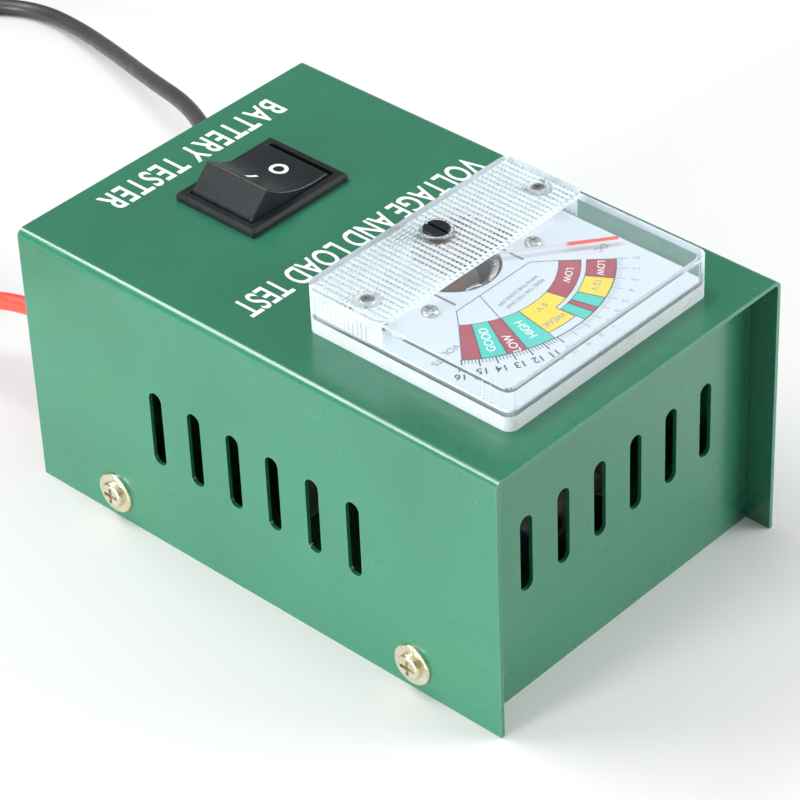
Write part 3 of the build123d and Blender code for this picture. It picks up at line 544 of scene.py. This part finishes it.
def clear_finish(name, film_and_painted_light_low, film_and_painted_light_high, film_and_painted_light_colour=(0.86, 0.92, 0.97), slants=(0.0, 1.0)):
    """Clear moulding: refracts what is seen through it, lets light through, and has a faint film.

    The film grows from low to high between two slants, 0 square on and 1 at a grazing angle; a strong
    film is painted reflection on the bright prism faces and painted shade on the dark ones.
    """
    f = Finish(name)
    haze = f.span(f.noise(180.0, 6.0), 0.35, 0.8, 0.0, 0.05)
    f.set(Base_Color=(0.97, 0.985, 0.99), IOR=1.47, Transmission_Weight=1.0, Roughness=haze)
    f.bump(f.noise(120.0, 2.0), 0.05, 0.0002)
    open_shader = f.nodes.new("ShaderNodeBsdfTransparent")
    open_shader.inputs["Color"].default_value = (0.93, 0.95, 0.96, 1)
    path = f.nodes.new("ShaderNodeLightPath")
    passing = f.maths("MAXIMUM", path.outputs["Is Shadow Ray"], path.outputs["Is Diffuse Ray"])
    film = f.nodes.new("ShaderNodeBsdfDiffuse")
    film.inputs["Color"].default_value = (*film_and_painted_light_colour, 1)
    slant = f.nodes.new("ShaderNodeLayerWeight")
    slant.inputs["Blend"].default_value = 0.3
    hazy = f.nodes.new("ShaderNodeMixShader")
    f.links.new(f.span(slant.outputs["Facing"], *slants, film_and_painted_light_low, film_and_painted_light_high), hazy.inputs["Fac"])
    f.links.new(f.shader.outputs["BSDF"], hazy.inputs[1])
    f.links.new(film.outputs["BSDF"], hazy.inputs[2])
    mixed = f.nodes.new("ShaderNodeMixShader")
    f.links.new(passing, mixed.inputs["Fac"])
    f.links.new(hazy.outputs["Shader"], mixed.inputs[1])
    f.links.new(open_shader.outputs["BSDF"], mixed.inputs[2])
    f.links.new(mixed.outputs["Shader"], f.nodes["Material Output"].inputs["Surface"])
    return f.material


def card_finish(name, colour, roughness=0.5):
    """Printed surface: even ink with a fine tooth and a slight fade."""
    f = Finish(name)
    pale = tuple(min(1.0, c * 0.9 + 0.06) for c in colour)
    f.set(Base_Color=f.blend(f.span(f.noise(80.0, 5.0), 0.35, 0.7, 0.0, 0.8), colour, pale))
    f.set(Roughness=f.span(f.noise(900.0, 4.0), 0.3, 0.7, roughness * 0.85, roughness * 1.15))
    f.bump(f.noise(3000.0, 2.0), 0.06, 0.00005)
    return f.material


def pointer_finish():
    """Pointer painted red towards its tip only; the rest is pale bare alloy."""
    f = Finish("pointer_red")
    reach = f.nodes.new("ShaderNodeVectorMath")
    reach.operation = "DISTANCE"
    f.links.new(f.place, reach.inputs[0])
    reach.inputs[1].default_value = (PIVOT_X * MM, 0, POINTER_Z * MM)
    painted = f.span(reach.outputs["Value"], (RED_FROM - 0.4) * MM, (RED_FROM + 0.4) * MM, 0.0, 1.0)
    cloud = f.span(f.noise(300.0), 0.3, 0.7, 0.0, 1.0)
    red = f.blend(cloud, (0.88, 0.075, 0.03), (0.78, 0.05, 0.02))
    f.set(Base_Color=f.blend(painted, (0.70, 0.62, 0.62), red))
    f.set(Roughness=f.span(f.noise(900.0), 0.3, 0.7, 0.3, 0.42))
    return f.material


def strip_finish():
    """Resistance strip: dull nickel alloy, blued and browned where it has run hot."""
    f = Finish("load_metal")
    hot = f.span(f.noise(35.0, 4.0), 0.35, 0.65, 0.0, 1.0)
    colour = f.blend(hot, (0.42, 0.38, 0.33), (0.20, 0.19, 0.30))
    f.set(Base_Color=f.blend(f.span(f.noise(60.0, 5.0), 0.5, 0.7, 0.0, 0.6), colour, (0.45, 0.28, 0.14)))
    f.set(Metallic=1.0, Roughness=f.span(f.noise(400.0, 5.0), 0.3, 0.7, 0.3, 0.5))
    f.bump(f.noise(1200.0, 4.0, stretch=(0.1, 1.0, 1.0)), 0.2, 0.0001)
    return f.material


def winding_finish():
    """Enamelled copper: turns of fine wire side by side."""
    f = Finish("coil_copper")
    turns = f.wave(2600.0, "Z", 0.4)
    f.set(Base_Color=f.blend(turns, (0.28, 0.10, 0.04), (0.72, 0.34, 0.16)), Metallic=0.8)
    f.set(Roughness=f.span(f.noise(500.0), 0.3, 0.7, 0.25, 0.4))
    f.bump(turns, 0.5, 0.0001)
    return f.material


def make_finishes():
    """All finishes by the record's slot, with the extra inks of the print."""
    return {
        "case_paint": paint_finish(),
        "zinc_screw": zinc_finish(),
        "meter_plastic": plastic_finish("meter_plastic", (0.46, 0.50, 0.51), (0.52, 0.56, 0.57), 0.28,
                                        900.0, 0.05, 0.1, (0.9, 0.9, 0.9)),
        "clear_plastic": clear_finish("clear_plastic", 0.01, 0.12),
        # strong white film: painted reflection for the light the prisms return, and painted light on the
        # seat
        "painted_light_facet": clear_finish("painted_light_facet", 0.80, 0.90),
        "milky_facet": clear_finish("milky_facet", 0.45, 0.60),
        # pale bluish film on the walls at glancing slants: a painted sheen
        "wall_sheen_facet": clear_finish("wall_sheen_facet", 0.02, 0.45, (0.72, 0.79, 0.86), (0.31, 0.42)),
        # grey film on the prisms' Y slants is painted shade between the rows; the brown film over the
        # movement is painted shade too
        "shade_facet": clear_finish("shade_facet", 0.55, 0.62, (0.34, 0.39, 0.37)),
        "movement_shade_facet": clear_finish("movement_shade_facet", 0.78, 0.84, (0.15, 0.125, 0.085)),
        "dial_white": card_finish("dial_white", (0.66, 0.72, 0.78), 0.42),
        "bright_steel": metal_finish("bright_steel", (0.52, 0.52, 0.51), (0.68, 0.68, 0.67), 0.24),
        "magnet_metal": metal_finish("magnet_metal", (0.16, 0.15, 0.145), (0.30, 0.28, 0.26), 0.42,
                                     900.0, (1.0, 1.0, 1.0), (0.30, 0.20, 0.14)),
        "bridge_metal": metal_finish("bridge_metal", (0.58, 0.57, 0.56), (0.74, 0.73, 0.72), 0.26),
        "brass_part": metal_finish("brass_part", (0.60, 0.42, 0.17), (0.78, 0.58, 0.28), 0.28),
        "coil_copper": winding_finish(),
        "pointer_red": pointer_finish(),
        "black_plastic": plastic_finish("black_plastic", (0.007, 0.010, 0.011), (0.011, 0.015, 0.017),
                                        0.34, 2400.0, 0.16, 0.3, (0.08, 0.085, 0.09), 0.32),
        "load_metal": strip_finish(),
        "ceramic_white": plastic_finish("ceramic_white", (0.66, 0.63, 0.56), (0.78, 0.75, 0.69), 0.75,
                                        1500.0, 0.4, 0.2, (0.45, 0.42, 0.36)),
        "red_wire": wire_finish("red_wire", (0.80, 0.045, 0.03), (0.88, 0.07, 0.045), 0.38),
        "black_wire": wire_finish("black_wire", (0.022, 0.022, 0.023), (0.034, 0.034, 0.035), 0.45),
        "relief_rubber": plastic_finish("relief_rubber", (0.02, 0.02, 0.02), (0.032, 0.032, 0.032), 0.5,
                                        1800.0, 0.2, 0.3, (0.1, 0.1, 0.1)),
        "clip_steel": metal_finish("clip_steel", (0.50, 0.50, 0.49), (0.66, 0.66, 0.65), 0.3),
        "red_grip": plastic_finish("red_grip", (0.62, 0.025, 0.02), (0.72, 0.04, 0.03), 0.4, 1200.0,
                                   0.15, 0.2, (0.85, 0.2, 0.15)),
        "black_grip": plastic_finish("black_grip", (0.02, 0.02, 0.02), (0.03, 0.03, 0.03), 0.42, 1200.0,
                                     0.15, 0.3, (0.1, 0.1, 0.1)),
        "ink_white": card_finish("ink_white", (0.88, 0.89, 0.9), 0.38),
        "ink_maroon": card_finish("ink_maroon", (0.36, 0.022, 0.055), 0.4),
        "ink_cyan": card_finish("ink_cyan", (0.025, 0.56, 0.46), 0.4),
        "ink_yellow": card_finish("ink_yellow", (0.88, 0.66, 0.02), 0.4),
        "ink_black": card_finish("ink_black", (0.03, 0.035, 0.045), 0.45),
        "ink_faint": card_finish("ink_faint", (0.36, 0.40, 0.45), 0.45),
        "ink_grey": card_finish("ink_grey", (0.26, 0.29, 0.33), 0.45),
    }


# ---- strain reliefs -----------------------------------------------------------------------------
def make_relief(colour, y, z, finishes):
    """Tapered rubber sleeve with rings cut in it, in place of the plain CAD one."""
    wall = RELIEF_WALL
    profile = [(5.8, wall - 3.5), (5.8, wall - 1.1), (4.4, wall - 1.0), (4.4, wall), (6.0, wall),
               (6.2, wall + 0.2), (6.2, wall + 1.0), (6.0, wall + 1.2), (4.7, wall + 1.4)]
    for i in range(RELIEF_RINGS):
        share = i / RELIEF_RINGS
        start = wall + 2.0 + RELIEF_TAPER * share
        radius = 4.6 - 1.4 * share
        profile += [(radius, start), (radius - 0.1, start + 1.15), (radius - 0.75, start + 1.3),
                    (radius - 0.8, start + 1.85)]
    profile += [(3.2, wall + 14.2), (3.1, wall + 14.7), (2.7, wall + 15.0)]
    bm = bmesh.new()
    lathe(bm, profile, Matrix.Translation((0, y, z)) @ Matrix.Rotation(radians(-90), 4, "Y"))
    rubber = finishes["relief_rubber"]
    piece = finished_piece(f"{colour}_relief_ribbed", bm, rubber, "case")
    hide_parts(f"{colour}_relief")
    return piece


# ---- leads --------------------------------------------------------------------------------------
def heading(angle):
    """Unit vector in plan."""
    return Vector((cos(radians(angle)), sin(radians(angle)), 0))


def lead_points(route, full_turns, tail_run):
    """Control points of a lead: its route, the turns of its coil and its tail to the clip's handle."""
    points = [Vector(p) for p in route]
    run = points[-1] - points[-2]
    entry = math.degrees(math.atan2(run.y, run.x)) % 360
    turns = full_turns + ((COIL_EXIT_HEADING - entry) % 360) / 360
    centre = points[-1] + heading(entry + 90) * COIL_RADIUS
    floor_z = points[-1].z
    climb = COIL_PITCH * turns
    count = round(turns * COIL_POINTS)
    step = 360 * turns / count
    reach = COIL_RADIUS / cos(radians(step / 2))
    for i in range(count):
        spot = centre + heading(entry - 90 + step * (i + 0.5)) * reach
        spot.z = floor_z + climb * (i + 0.5) / count
        points.append(spot)
    spot = centre + heading(entry - 90 + 360 * turns) * COIL_RADIUS
    coil_top = floor_z + climb
    points.append(Vector((spot.x, spot.y, coil_top)))
    heights = (coil_top - 0.3, (coil_top + HANDLE_Z) / 2, HANDLE_Z, HANDLE_Z)
    swing = (CLIP_HEADING - COIL_EXIT_HEADING) / (len(heights) - 1)
    for i, height in enumerate(heights):
        spot = spot + heading(COIL_EXIT_HEADING + swing * i) * tail_run
        points.append(Vector((spot.x, spot.y, height)))
    return points


def rivet_centre(colour):
    """Middle of a clip's rivet, in millimetres."""
    low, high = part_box(f"{colour}_clip_pin")
    return (Vector(low) + Vector(high)) / 2 / MM


def make_clip_springs(colour, finishes):
    """Coiled torsion spring round the rivet, in place of the CAD ring, and its leg on the moving jaw."""
    per_turn = 12
    centre = rivet_centre(colour)
    bottom = centre.z - SPRING_PITCH * SPRING_TURNS / 2
    coil = [Vector((centre.x - 5.9, centre.y + 11.0, bottom)),
            Vector((centre.x - 4.4, centre.y + 5.0, bottom))]
    for i in range(round(per_turn * SPRING_TURNS) + 1):
        a = math.pi - 2 * math.pi * i / per_turn
        coil.append(Vector((centre.x + SPRING_RADIUS * cos(a), centre.y + SPRING_RADIUS * sin(a),
                            bottom + SPRING_PITCH * i / per_turn)))
    top = coil[-1].z
    leg = [Vector((centre.x + SPRING_RADIUS, centre.y - 0.6, top + 0.9)),
           Vector((centre.x + SPRING_RADIUS + 0.3, centre.y + 1.2, top + 0.9)),
           Vector((centre.x + 4.6, centre.y + 6.0, top)), Vector((centre.x + 5.9, centre.y + 10.5, top))]
    finish = finishes["bright_steel"]
    spring = wire_piece(f"{colour}_coil_spring", coil, SPRING_WIRE, finish, "case")
    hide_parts(f"{colour}_clip_spring")
    arm = wire_piece(f"{colour}_spring_leg", leg, SPRING_WIRE, finish, f"{colour}_jaw")
    return [spring, arm]


def make_grip_ribs(colour, finishes):
    """Raised bars across the outside of both plastic grips."""
    pivot = rivet_centre(colour)
    tail, nose = Vector(GRIP_TAIL), Vector(GRIP_NOSE)
    run = (nose - tail).normalized()
    out = Vector((run.y, -run.x))
    pieces = []
    for side, body, name in ((1, "case", "grip_ribs"), (-1, f"{colour}_jaw", "moving_grip_ribs")):
        bm = bmesh.new()
        for i in range(GRIP_RIBS):
            spot = tail + run * (3.6 + GRIP_RIB_PITCH * i)
            section = [spot - run * 0.5 - out * 0.3, spot + run * 0.5 - out * 0.3,
                       spot + run * 0.25 + out * 0.45, spot - run * 0.25 + out * 0.45]
            add_prism(bm, [(pivot.x + c.y * side, pivot.y - c.x) for c in section], GRIP_Z0, GRIP_Z1)
        pieces.append(finished_piece(f"{colour}_{name}", bm, finishes[f"{colour}_grip"], body))
    return pieces


def make_lead(colour, route, full_turns, tail_run, finishes):
    """One lead as a smooth curve in place of its CAD solids, with the pieces that are on it."""
    points = lead_points(route, full_turns, tail_run)
    cord = wire_piece(f"{colour}_lead_cord", points, LEAD_DIAMETER / 2, finishes[f"{colour}_wire"],
                      "case", 12, 7)
    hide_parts(f"{colour}_lead", f"{colour}_lead_coil", f"{colour}_lead_tail")
    held = [f"{colour}_clip_{part}" for part in ("jaw", "pin", "grip", "moving_jaw", "moving_grip")]
    held.append(make_relief(colour, route[0][1], route[0][2], finishes))
    held += make_clip_springs(colour, finishes) + make_grip_ribs(colour, finishes)


# ---- print on the case and the switch -----------------------------------------------------------
def make_case_lettering(finishes):
    """Two lines of white capitals on the top of the case."""
    lines = (("case_title", "BATTERY TESTER", -63.9, 0.6, 56.0, 7.6, 0.016, 1.16),
             ("case_subtitle", "VOLTAGE AND LOAD TEST", -10.5, 1.4, 77.5, 7.4, 0.012, 1.04))
    for name, words, x, y, width, height, weight, spacing in lines:
        bm = bmesh.new()
        add_letters(bm, words, reader_place(x, y, CASE_TOP + INK / 2), width, height, weight, spacing)
        finished_piece(name, bm, finishes["ink_white"], "case")


def rocker_skin(bm, surface, rows):
    """Lower and upper layer of points of a thin skin over rows of (x, y) points, lying on the rocker."""
    layers = []
    for lift in (0.0, INK + 0.01):
        layer = []
        for row in rows:
            heights = [surface.ray_cast(Vector((x, y, 95.0)), Vector((0, 0, -1)))[0].z for x, y in row]
            layer.append([bm.verts.new((x, y, z + lift)) for (x, y), z in zip(row, heights)])
        layers.append(layer)
    return layers


def add_rocker_ring(bm, surface, x0, y0):
    """Ring for the off side; its faces."""
    steps = 48
    radii = (1.35, 1.825, 2.3)
    angles = [2 * math.pi * i / steps for i in range(steps)]
    rows = [[(x0 + r * cos(a), y0 + r * sin(a)) for r in radii] for a in angles]
    low, high = rocker_skin(bm, surface, rows)
    faces = []
    for i in range(steps):
        j = (i + 1) % steps
        for k in (0, 1):
            faces.append(bm.faces.new((high[i][k], high[i][k + 1], high[j][k + 1], high[j][k])))
            faces.append(bm.faces.new((low[j][k], low[j][k + 1], low[i][k + 1], low[i][k])))
        faces.append(bm.faces.new((low[i][0], high[i][0], high[j][0], low[j][0])))
        faces.append(bm.faces.new((high[i][2], low[i][2], low[j][2], high[j][2])))
    return faces


def add_rocker_bar(bm, surface, x0, y0, length):
    """Bar for the on side; its faces."""
    steps = 10
    half = 0.42
    places = [y0 + length * i / steps for i in range(steps + 1)]
    rows = [[(x0 - half, y), (x0 + half, y)] for y in places]
    low, high = rocker_skin(bm, surface, rows)
    faces = []
    for i in range(steps):
        faces.append(bm.faces.new((high[i][0], high[i][1], high[i + 1][1], high[i + 1][0])))
        faces.append(bm.faces.new((low[i + 1][0], low[i + 1][1], low[i][1], low[i][0])))
        for k in (0, 1):
            faces.append(bm.faces.new((low[i][k], high[i][k], high[i + 1][k], low[i + 1][k])))
    for i in (0, steps):
        faces.append(bm.faces.new((low[i][0], low[i][1], high[i][1], high[i][0])))
    return faces


def make_rocker_marks(finishes):
    """White ring and bar laid on the curved top of the rocker."""
    mesh = nodes["rocker"].data
    surface = BVHTree.FromPolygons([v.co / MM for v in mesh.vertices],
                                   [p.vertices for p in mesh.polygons])
    bm = bmesh.new()
    faces = add_rocker_ring(bm, surface, ROCKER_X, 5.6)
    faces += add_rocker_bar(bm, surface, ROCKER_X, -4.9, 3.6)
    bmesh.ops.recalc_face_normals(bm, faces=faces)
    finished_piece("rocker_marks", bm, finishes["ink_white"], "rocker")


# ---- dial ---------------------------------------------------------------------------------------
def dial_point(radius, angle):
    """Place on the dial: angle clockwise from +X about the pivot, as the reader sees it."""
    return (PIVOT_X + radius * cos(radians(angle)), -radius * sin(radians(angle)))


def sector(r0, r1, a0, a1):
    """Outline of a ring sector."""
    count = max(2, round(abs(a1 - a0) / 1.5))
    angles = [a0 + (a1 - a0) * i / count for i in range(count + 1)]
    return [dial_point(r0, a) for a in angles] + [dial_point(r1, a) for a in reversed(angles)]


def stroke(a, b, width):
    """Outline of a straight line of ink between two places."""
    start, end = Vector(a), Vector(b)
    side = (end - start).orthogonal().normalized() * width / 2
    return [tuple(start - side), tuple(end - side), tuple(end + side), tuple(start + side)]


SECTORS = {                     # inner radius, outer radius, first angle, last angle
    "maroon": [(INNER_RING, OUTER_RING, 22.0, 29.4), (INNER_RING, OUTER_RING, 38.5, LAST_PATCH),
               (UPPER_RING, OUTER_RING, FIRST_PATCH, -31.0), (UPPER_RING, OUTER_RING, -12.6, -9.5),
               (INNER_RING, LOWER_RING, FIRST_PATCH, -12.6)],
    "cyan": [(INNER_RING, OUTER_RING, LAST_YELLOW, 22.0), (INNER_RING, OUTER_RING, 29.4, 38.5),
             (UPPER_RING, OUTER_RING, -18.8, -12.6), (UPPER_RING, OUTER_RING, -9.5, -4.2)],
    "yellow": [(UPPER_RING, OUTER_RING, -31.0, -18.8), (INNER_RING, LOWER_RING, -12.6, LAST_YELLOW),
               (LOWER_RING, YELLOW_RING, YELLOW_START, LAST_YELLOW)],
}
WHITE_WORDS = (                 # words, radius, angle, turn, height
    ("LOW", 32.4, 25.7, 90, 2.0), ("GOOD", 29.4, 34.0, 90, 2.0), ("HIGH", 29.4, 16.3, 90, 2.0),
    ("LOW", 25.6, -30.0, 0, 1.7), ("LOW", 32.4, -37.0, 0, 1.7),
)
GREY_WORDS = (
    ("READ THE VOLTAGE", 19.6, -4.5, 0, 1.0), ("WITH THE LOAD OFF", 17.6, -4.5, 0, 1.0),
    ("6 V", 25.6, 0.0, 0, 1.6), ("WEAK", 30.8, 3.5, 0, 1.6), ("12 V", 32.4, -25.0, 0, 1.6),
)
FIGURES = (0, *range(2, 17))


def make_dial_patches(finishes):
    """Colour patches of the two bands."""
    for colour, patches in SECTORS.items():
        bm = bmesh.new()
        for patch in patches:
            add_prism(bm, sector(*patch), DIAL_TOP, DIAL_TOP + INK)
        finished_piece(f"dial_{colour}", bm, finishes[f"ink_{colour}"], "case")


def add_scale_marks(bold, faint):
    """Arc and marks of the scale, five to a figure; the low end goes into the faint print."""
    top = DIAL_TOP + INK
    arc = sector(OUTER_RING - 0.1, OUTER_RING + 0.15, SCALE_START, SCALE_END)
    add_prism(bold, arc, DIAL_TOP, top + 0.01)
    per_figure = 5
    count = (len(FIGURES) - 1) * per_figure
    for i in range(count + 1):
        angle = SCALE_START + (SCALE_END - SCALE_START) * i / count
        reach, width = (38.3, 0.32) if i % per_figure == 0 else (37.2, 0.16)
        mark = stroke(dial_point(OUTER_RING, angle), dial_point(reach, angle), width)
        add_prism(bold if angle > FAINT_BELOW else faint, mark, DIAL_TOP, top)


def add_patch_outlines(bm):
    """Fine lines round the colour patches, and the straight rules below them."""
    top = DIAL_TOP + INK
    for patches in SECTORS.values():
        for r0, r1, *angles in patches:
            for angle in angles:
                edge = stroke(dial_point(r0, angle), dial_point(r1, angle), OUTLINE)
                add_prism(bm, edge, top, top + 0.02)
    arcs = ((INNER_RING, FIRST_PATCH, LAST_PATCH), (LOWER_RING, FIRST_PATCH, YELLOW_START),
            (UPPER_RING, FIRST_PATCH, YELLOW_START), (YELLOW_RING, YELLOW_START, LAST_YELLOW))
    for radius, start, end in arcs:
        outline = sector(radius - OUTLINE / 2, radius + OUTLINE / 2, start, end)
        add_prism(bm, outline, top, top + 0.02)
    left, right = (RULE_X, 11.4), (RULE_X, -12.9)
    rules = ((dial_point(INNER_RING, FIRST_PATCH), left), (dial_point(INNER_RING, LAST_PATCH), right),
             (left, right), (dial_point(INNER_RING, 22.5), (RULE_X, -5.3)))
    for a, b in rules:
        add_prism(bm, stroke(a, b, 0.18), DIAL_TOP, top)


def add_scale_figures(bold, faint):
    """Figures along the scale, each turned towards the pivot."""
    for i, figure in enumerate(FIGURES):
        angle = SCALE_START + (SCALE_END - SCALE_START) * i / (len(FIGURES) - 1)
        place = reader_place(*dial_point(40.2, angle), DIAL_TOP + INK / 2, angle)
        if figure > 10:
            add_letters(bold, str(figure), place, None, 2.1, 0.012)
        else:
            add_letters(faint, str(figure), place, None, 1.6)


def add_dial_words(bm, rows, weight=0.0):
    """Words on the dial, from rows of words, radius, angle, turn and height."""
    for words, radius, angle, turn, height in rows:
        place = reader_place(*dial_point(radius, angle), DIAL_TOP + INK * 1.5, angle + turn)
        add_letters(bm, words, place, None, height, weight)


def make_dial_print(finishes):
    """Everything printed on the dial."""
    make_dial_patches(finishes)
    scale, faint_ticks, faint_figures, white, grey = (bmesh.new() for _ in range(5))
    add_scale_marks(scale, faint_ticks)
    add_patch_outlines(scale)
    add_scale_figures(scale, faint_figures)
    add_dial_words(white, WHITE_WORDS, 0.005)
    add_dial_words(grey, GREY_WORDS)
    for y, words in ((25.5, "DC"), (-25.5, "VOLTS")):
        add_letters(grey, words, reader_place(39.5, y, DIAL_TOP + INK * 1.5), None, 1.7)
    for name, bm, ink in (("dial_faint_ticks", faint_ticks, "ink_faint"),
                          ("dial_faint_figures", faint_figures, "ink_faint"),
                          ("dial_scale", scale, "ink_black"),
                          ("dial_white_words", white, "ink_white"),
                          ("dial_grey_words", grey, "ink_grey")):
        finished_piece(name, bm, finishes[ink], "case")


# ---- movement -----------------------------------------------------------------------------------
def make_movement_details(finishes):
    """Hairspring under the pointer, and two bent sheet straps over the magnet's mouth."""
    turns = 5
    per_turn = 24
    spiral = []
    for i in range(turns * per_turn + 1):
        a = 2 * math.pi * i / per_turn
        r = 1.0 + 2.6 * i / (turns * per_turn)
        spiral.append(Vector((PIVOT_X + r * cos(a), r * sin(a), HAIRSPRING_Z)))
    bm = bmesh.new()
    add_ribbon(bm, spiral, Vector((0, 0, 0.16)), 0.07)
    finished_piece("hairspring", bm, finishes["brass_part"], "pointer")
    bm = bmesh.new()
    steps = 8
    for start, end, width in STRAPS:
        points = []
        for i in range(steps + 1):
            x, y = dial_point(STRAP_RADIUS, start + (end - start) * i / steps)
            points.append(Vector((x, y, STRAP_Z + STRAP_RISE * sin(math.pi * i / steps) ** 0.5)))
        add_ribbon(bm, points, lambda p, w=width: Vector((p.x - PIVOT_X, p.y, 0)).normalized() * w, 0.3)
    finished_piece("movement_straps", bm, finishes["bright_steel"], "case", smooth=True)


# ---- clear cover --------------------------------------------------------------------------------
def add_blunt_prisms(bm, across, along):
    """Rows of blunt prisms hanging from the pocket's ceiling; the grid of points at their roots."""
    dx = (BAND_X1 - BAND_X0) / across
    dy = 2 * BAND_HALF / along
    roots = [[bm.verts.new((BAND_X0 + dx * i, -BAND_HALF + dy * j, PRISM_ROOT))
              for j in range(along + 1)] for i in range(across + 1)]
    half_x = CELL_SHARE_X * dx
    half_y = CELL_SHARE_Y * dy
    for i in range(across):
        for j in range(along):
            x = BAND_X0 + dx * (i + 0.5)
            y = -BAND_HALF + dy * (j + 0.5)
            foot = [bm.verts.new((x + u * half_x, y + v * half_y, PRISM_ROOT - PRISM_DEPTH))
                    for u, v in SQUARE]
            ring = [roots[i][j], roots[i + 1][j], roots[i + 1][j + 1], roots[i][j + 1]]
            bm.faces.new(foot)
            for k in range(4):
                bm.faces.new((ring[k], ring[k - 3], foot[k - 3], foot[k]))
    return roots


def prism_pocket():
    """Tool that hollows the ribbed band from below and leaves rows of blunt prisms on its ceiling."""
    bm = bmesh.new()
    across = round((BAND_X1 - BAND_X0) / CELL_X)
    along = round(2 * BAND_HALF / CELL_Y)
    roots = add_blunt_prisms(bm, across, along)
    rim = [roots[i][0] for i in range(across + 1)]
    rim += [roots[across][j] for j in range(1, along + 1)]
    rim += [roots[i][along] for i in range(across - 1, -1, -1)]
    rim += [roots[0][j] for j in range(along - 1, 0, -1)]
    base = [bm.verts.new((v.co.x, v.co.y, BAND_FLOOR)) for v in rim]
    for i in range(len(rim)):
        j = (i + 1) % len(rim)
        bm.faces.new((rim[j], rim[i], base[i], base[j]))
    bm.faces.new(base[::-1])
    bmesh.ops.recalc_face_normals(bm, faces=bm.faces)
    tool = tool_object(bm)
    post_x, post_y = SCREW_POST
    for x, y, radius in ((post_x, post_y, 3.4), (post_x, -post_y, 3.4), (ZERO_SCREW_X, 0, 4.2)):
        bm = bmesh.new()
        add_prism(bm, circle(x, y, radius), BAND_CEILING - 1, PRISM_ROOT + 1)
        apply_boolean(tool, tool_object(bm))
    return tool


def flute_cutter():
    """Tool that cuts fine upright flutes into both ends of the band from inside."""
    bm = bmesh.new()
    pitch = (BAND_X1 - BAND_X0 - 1.0) / FLUTES
    for side in (-1, 1):
        for i in range(FLUTES):
            x = BAND_X0 + 0.5 + pitch * i
            outline = [(x, side * (BAND_HALF - 0.2)), (x + pitch, side * (BAND_HALF - 0.2)),
                       (x + pitch / 2, side * (BAND_HALF + 0.3))]
            add_prism(bm, outline, BAND_FLOOR + 0.2, FLUTE_TOP)
    return tool_object(bm)


def locating_ribs():
    """Two short upright ribs on the inside of the near wall."""
    bm = bmesh.new()
    for x in LOCATING_RIBS:
        end = x + LOCATING_RIB_WIDTH
        add_prism(bm, [(x, -32.0), (end, -32.0), (end, -30.9), (x, -30.9)], 74.9, 80.0)
    return tool_object(bm)


def screw_collar():
    """Raised ring round the hole of the zero screw."""
    bm = bmesh.new()
    lathe(bm, [(COLLAR_OUTER, BAND_TOP - 0.4), (COLLAR_OUTER, BAND_TOP + 0.35), (3.85, BAND_TOP + 0.6),
               (COLLAR_INNER, BAND_TOP + 0.6), (COLLAR_INNER, BAND_TOP - 0.4)],
          Matrix.Translation((ZERO_SCREW_X, 0, 0)))
    bmesh.ops.delete(bm, geom=[f for f in bm.faces if len(f.verts) > 4], context="FACES_ONLY")
    bmesh.ops.bridge_loops(bm, edges=[e for e in bm.edges if e.is_boundary])
    bmesh.ops.recalc_face_normals(bm, faces=bm.faces)
    return tool_object(bm)


COVER_FINISHES = ("clear_plastic", "painted_light_facet", "milky_facet", "shade_facet", "movement_shade_facet",
                  "wall_sheen_facet")


def facet_finish(face):
    """Finish of one face of the cover: walls, seat, flutes and the two slants of the prisms differ."""
    x, y, z = face.center / MM
    # the seat is painted light so that no dark line shows under the walls
    if z < COVER_SEAT + 0.1 and face.normal.z < -0.95:
        return "painted_light_facet"
    if not (BAND_X0 < x < BAND_X1 and abs(y) < BAND_HALF + 0.5):
        return "wall_sheen_facet" if abs(face.normal.z) < 0.5 else "clear_plastic"
    if PRISM_ROOT - PRISM_DEPTH - 0.01 < z < PRISM_ROOT - 0.01:
        # feet and X slants of the prisms are painted light; their Y slants are painted shade
        if abs(face.normal.y) < 0.6:
            return "painted_light_facet"
        over_movement = math.hypot(x - PIVOT_X - 3, y) < MOVEMENT_REACH
        return "movement_shade_facet" if over_movement else "shade_facet"
    if BAND_FLOOR < z < FLUTE_TOP + 0.1 and abs(y) > BAND_HALF - 0.4 and abs(face.normal.z) < 0.95:
        return "milky_facet"
    return "clear_plastic"


def make_clear_cover(finishes):
    """Clear cover with prisms under its ribbed band, fluted ends and a collar round the zero screw."""
    mesh = nodes["meter_cover"].data.copy()
    mesh.transform(Matrix.Scale(1 / MM, 4))
    bm = bmesh.new()
    bm.from_mesh(mesh)
    bmesh.ops.remove_doubles(bm, verts=bm.verts, dist=0.001)
    bm.to_mesh(mesh)
    bm.free()
    cover = link("clear_cover", mesh)
    apply_boolean(cover, prism_pocket())
    apply_boolean(cover, flute_cutter())
    apply_boolean(cover, locating_ribs(), "UNION")
    apply_boolean(cover, screw_collar(), "UNION")
    cover.data.transform(Matrix.Scale(MM, 4))
    cover.data.materials.clear()
    for finish in COVER_FINISHES:
        cover.data.materials.append(finishes[finish])
    for face in cover.data.polygons:
        face.material_index = COVER_FINISHES.index(facet_finish(face))
    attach(cover, "case")
    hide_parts("meter_cover")


# ---- build --------------------------------------------------------------------------------------
def finish_cad_nodes(finishes):
    """Every CAD node takes the finish of its slot."""
    for part in frame["record"]["subparts"]:
        mesh = nodes[part["node"]].data
        mesh.materials.clear()
        mesh.materials.append(finishes[part["material_slot"]])


finishes = make_finishes()
make_camera()
make_lead("red", RED_ROUTE, 2, 10.5, finishes)
make_lead("black", BLACK_ROUTE, 1, 15.0, finishes)
make_studio()
finish_cad_nodes(finishes)
make_case_lettering(finishes)
make_rocker_marks(finishes)
make_dial_print(finishes)
make_clear_cover(finishes)
make_movement_details(finishes)
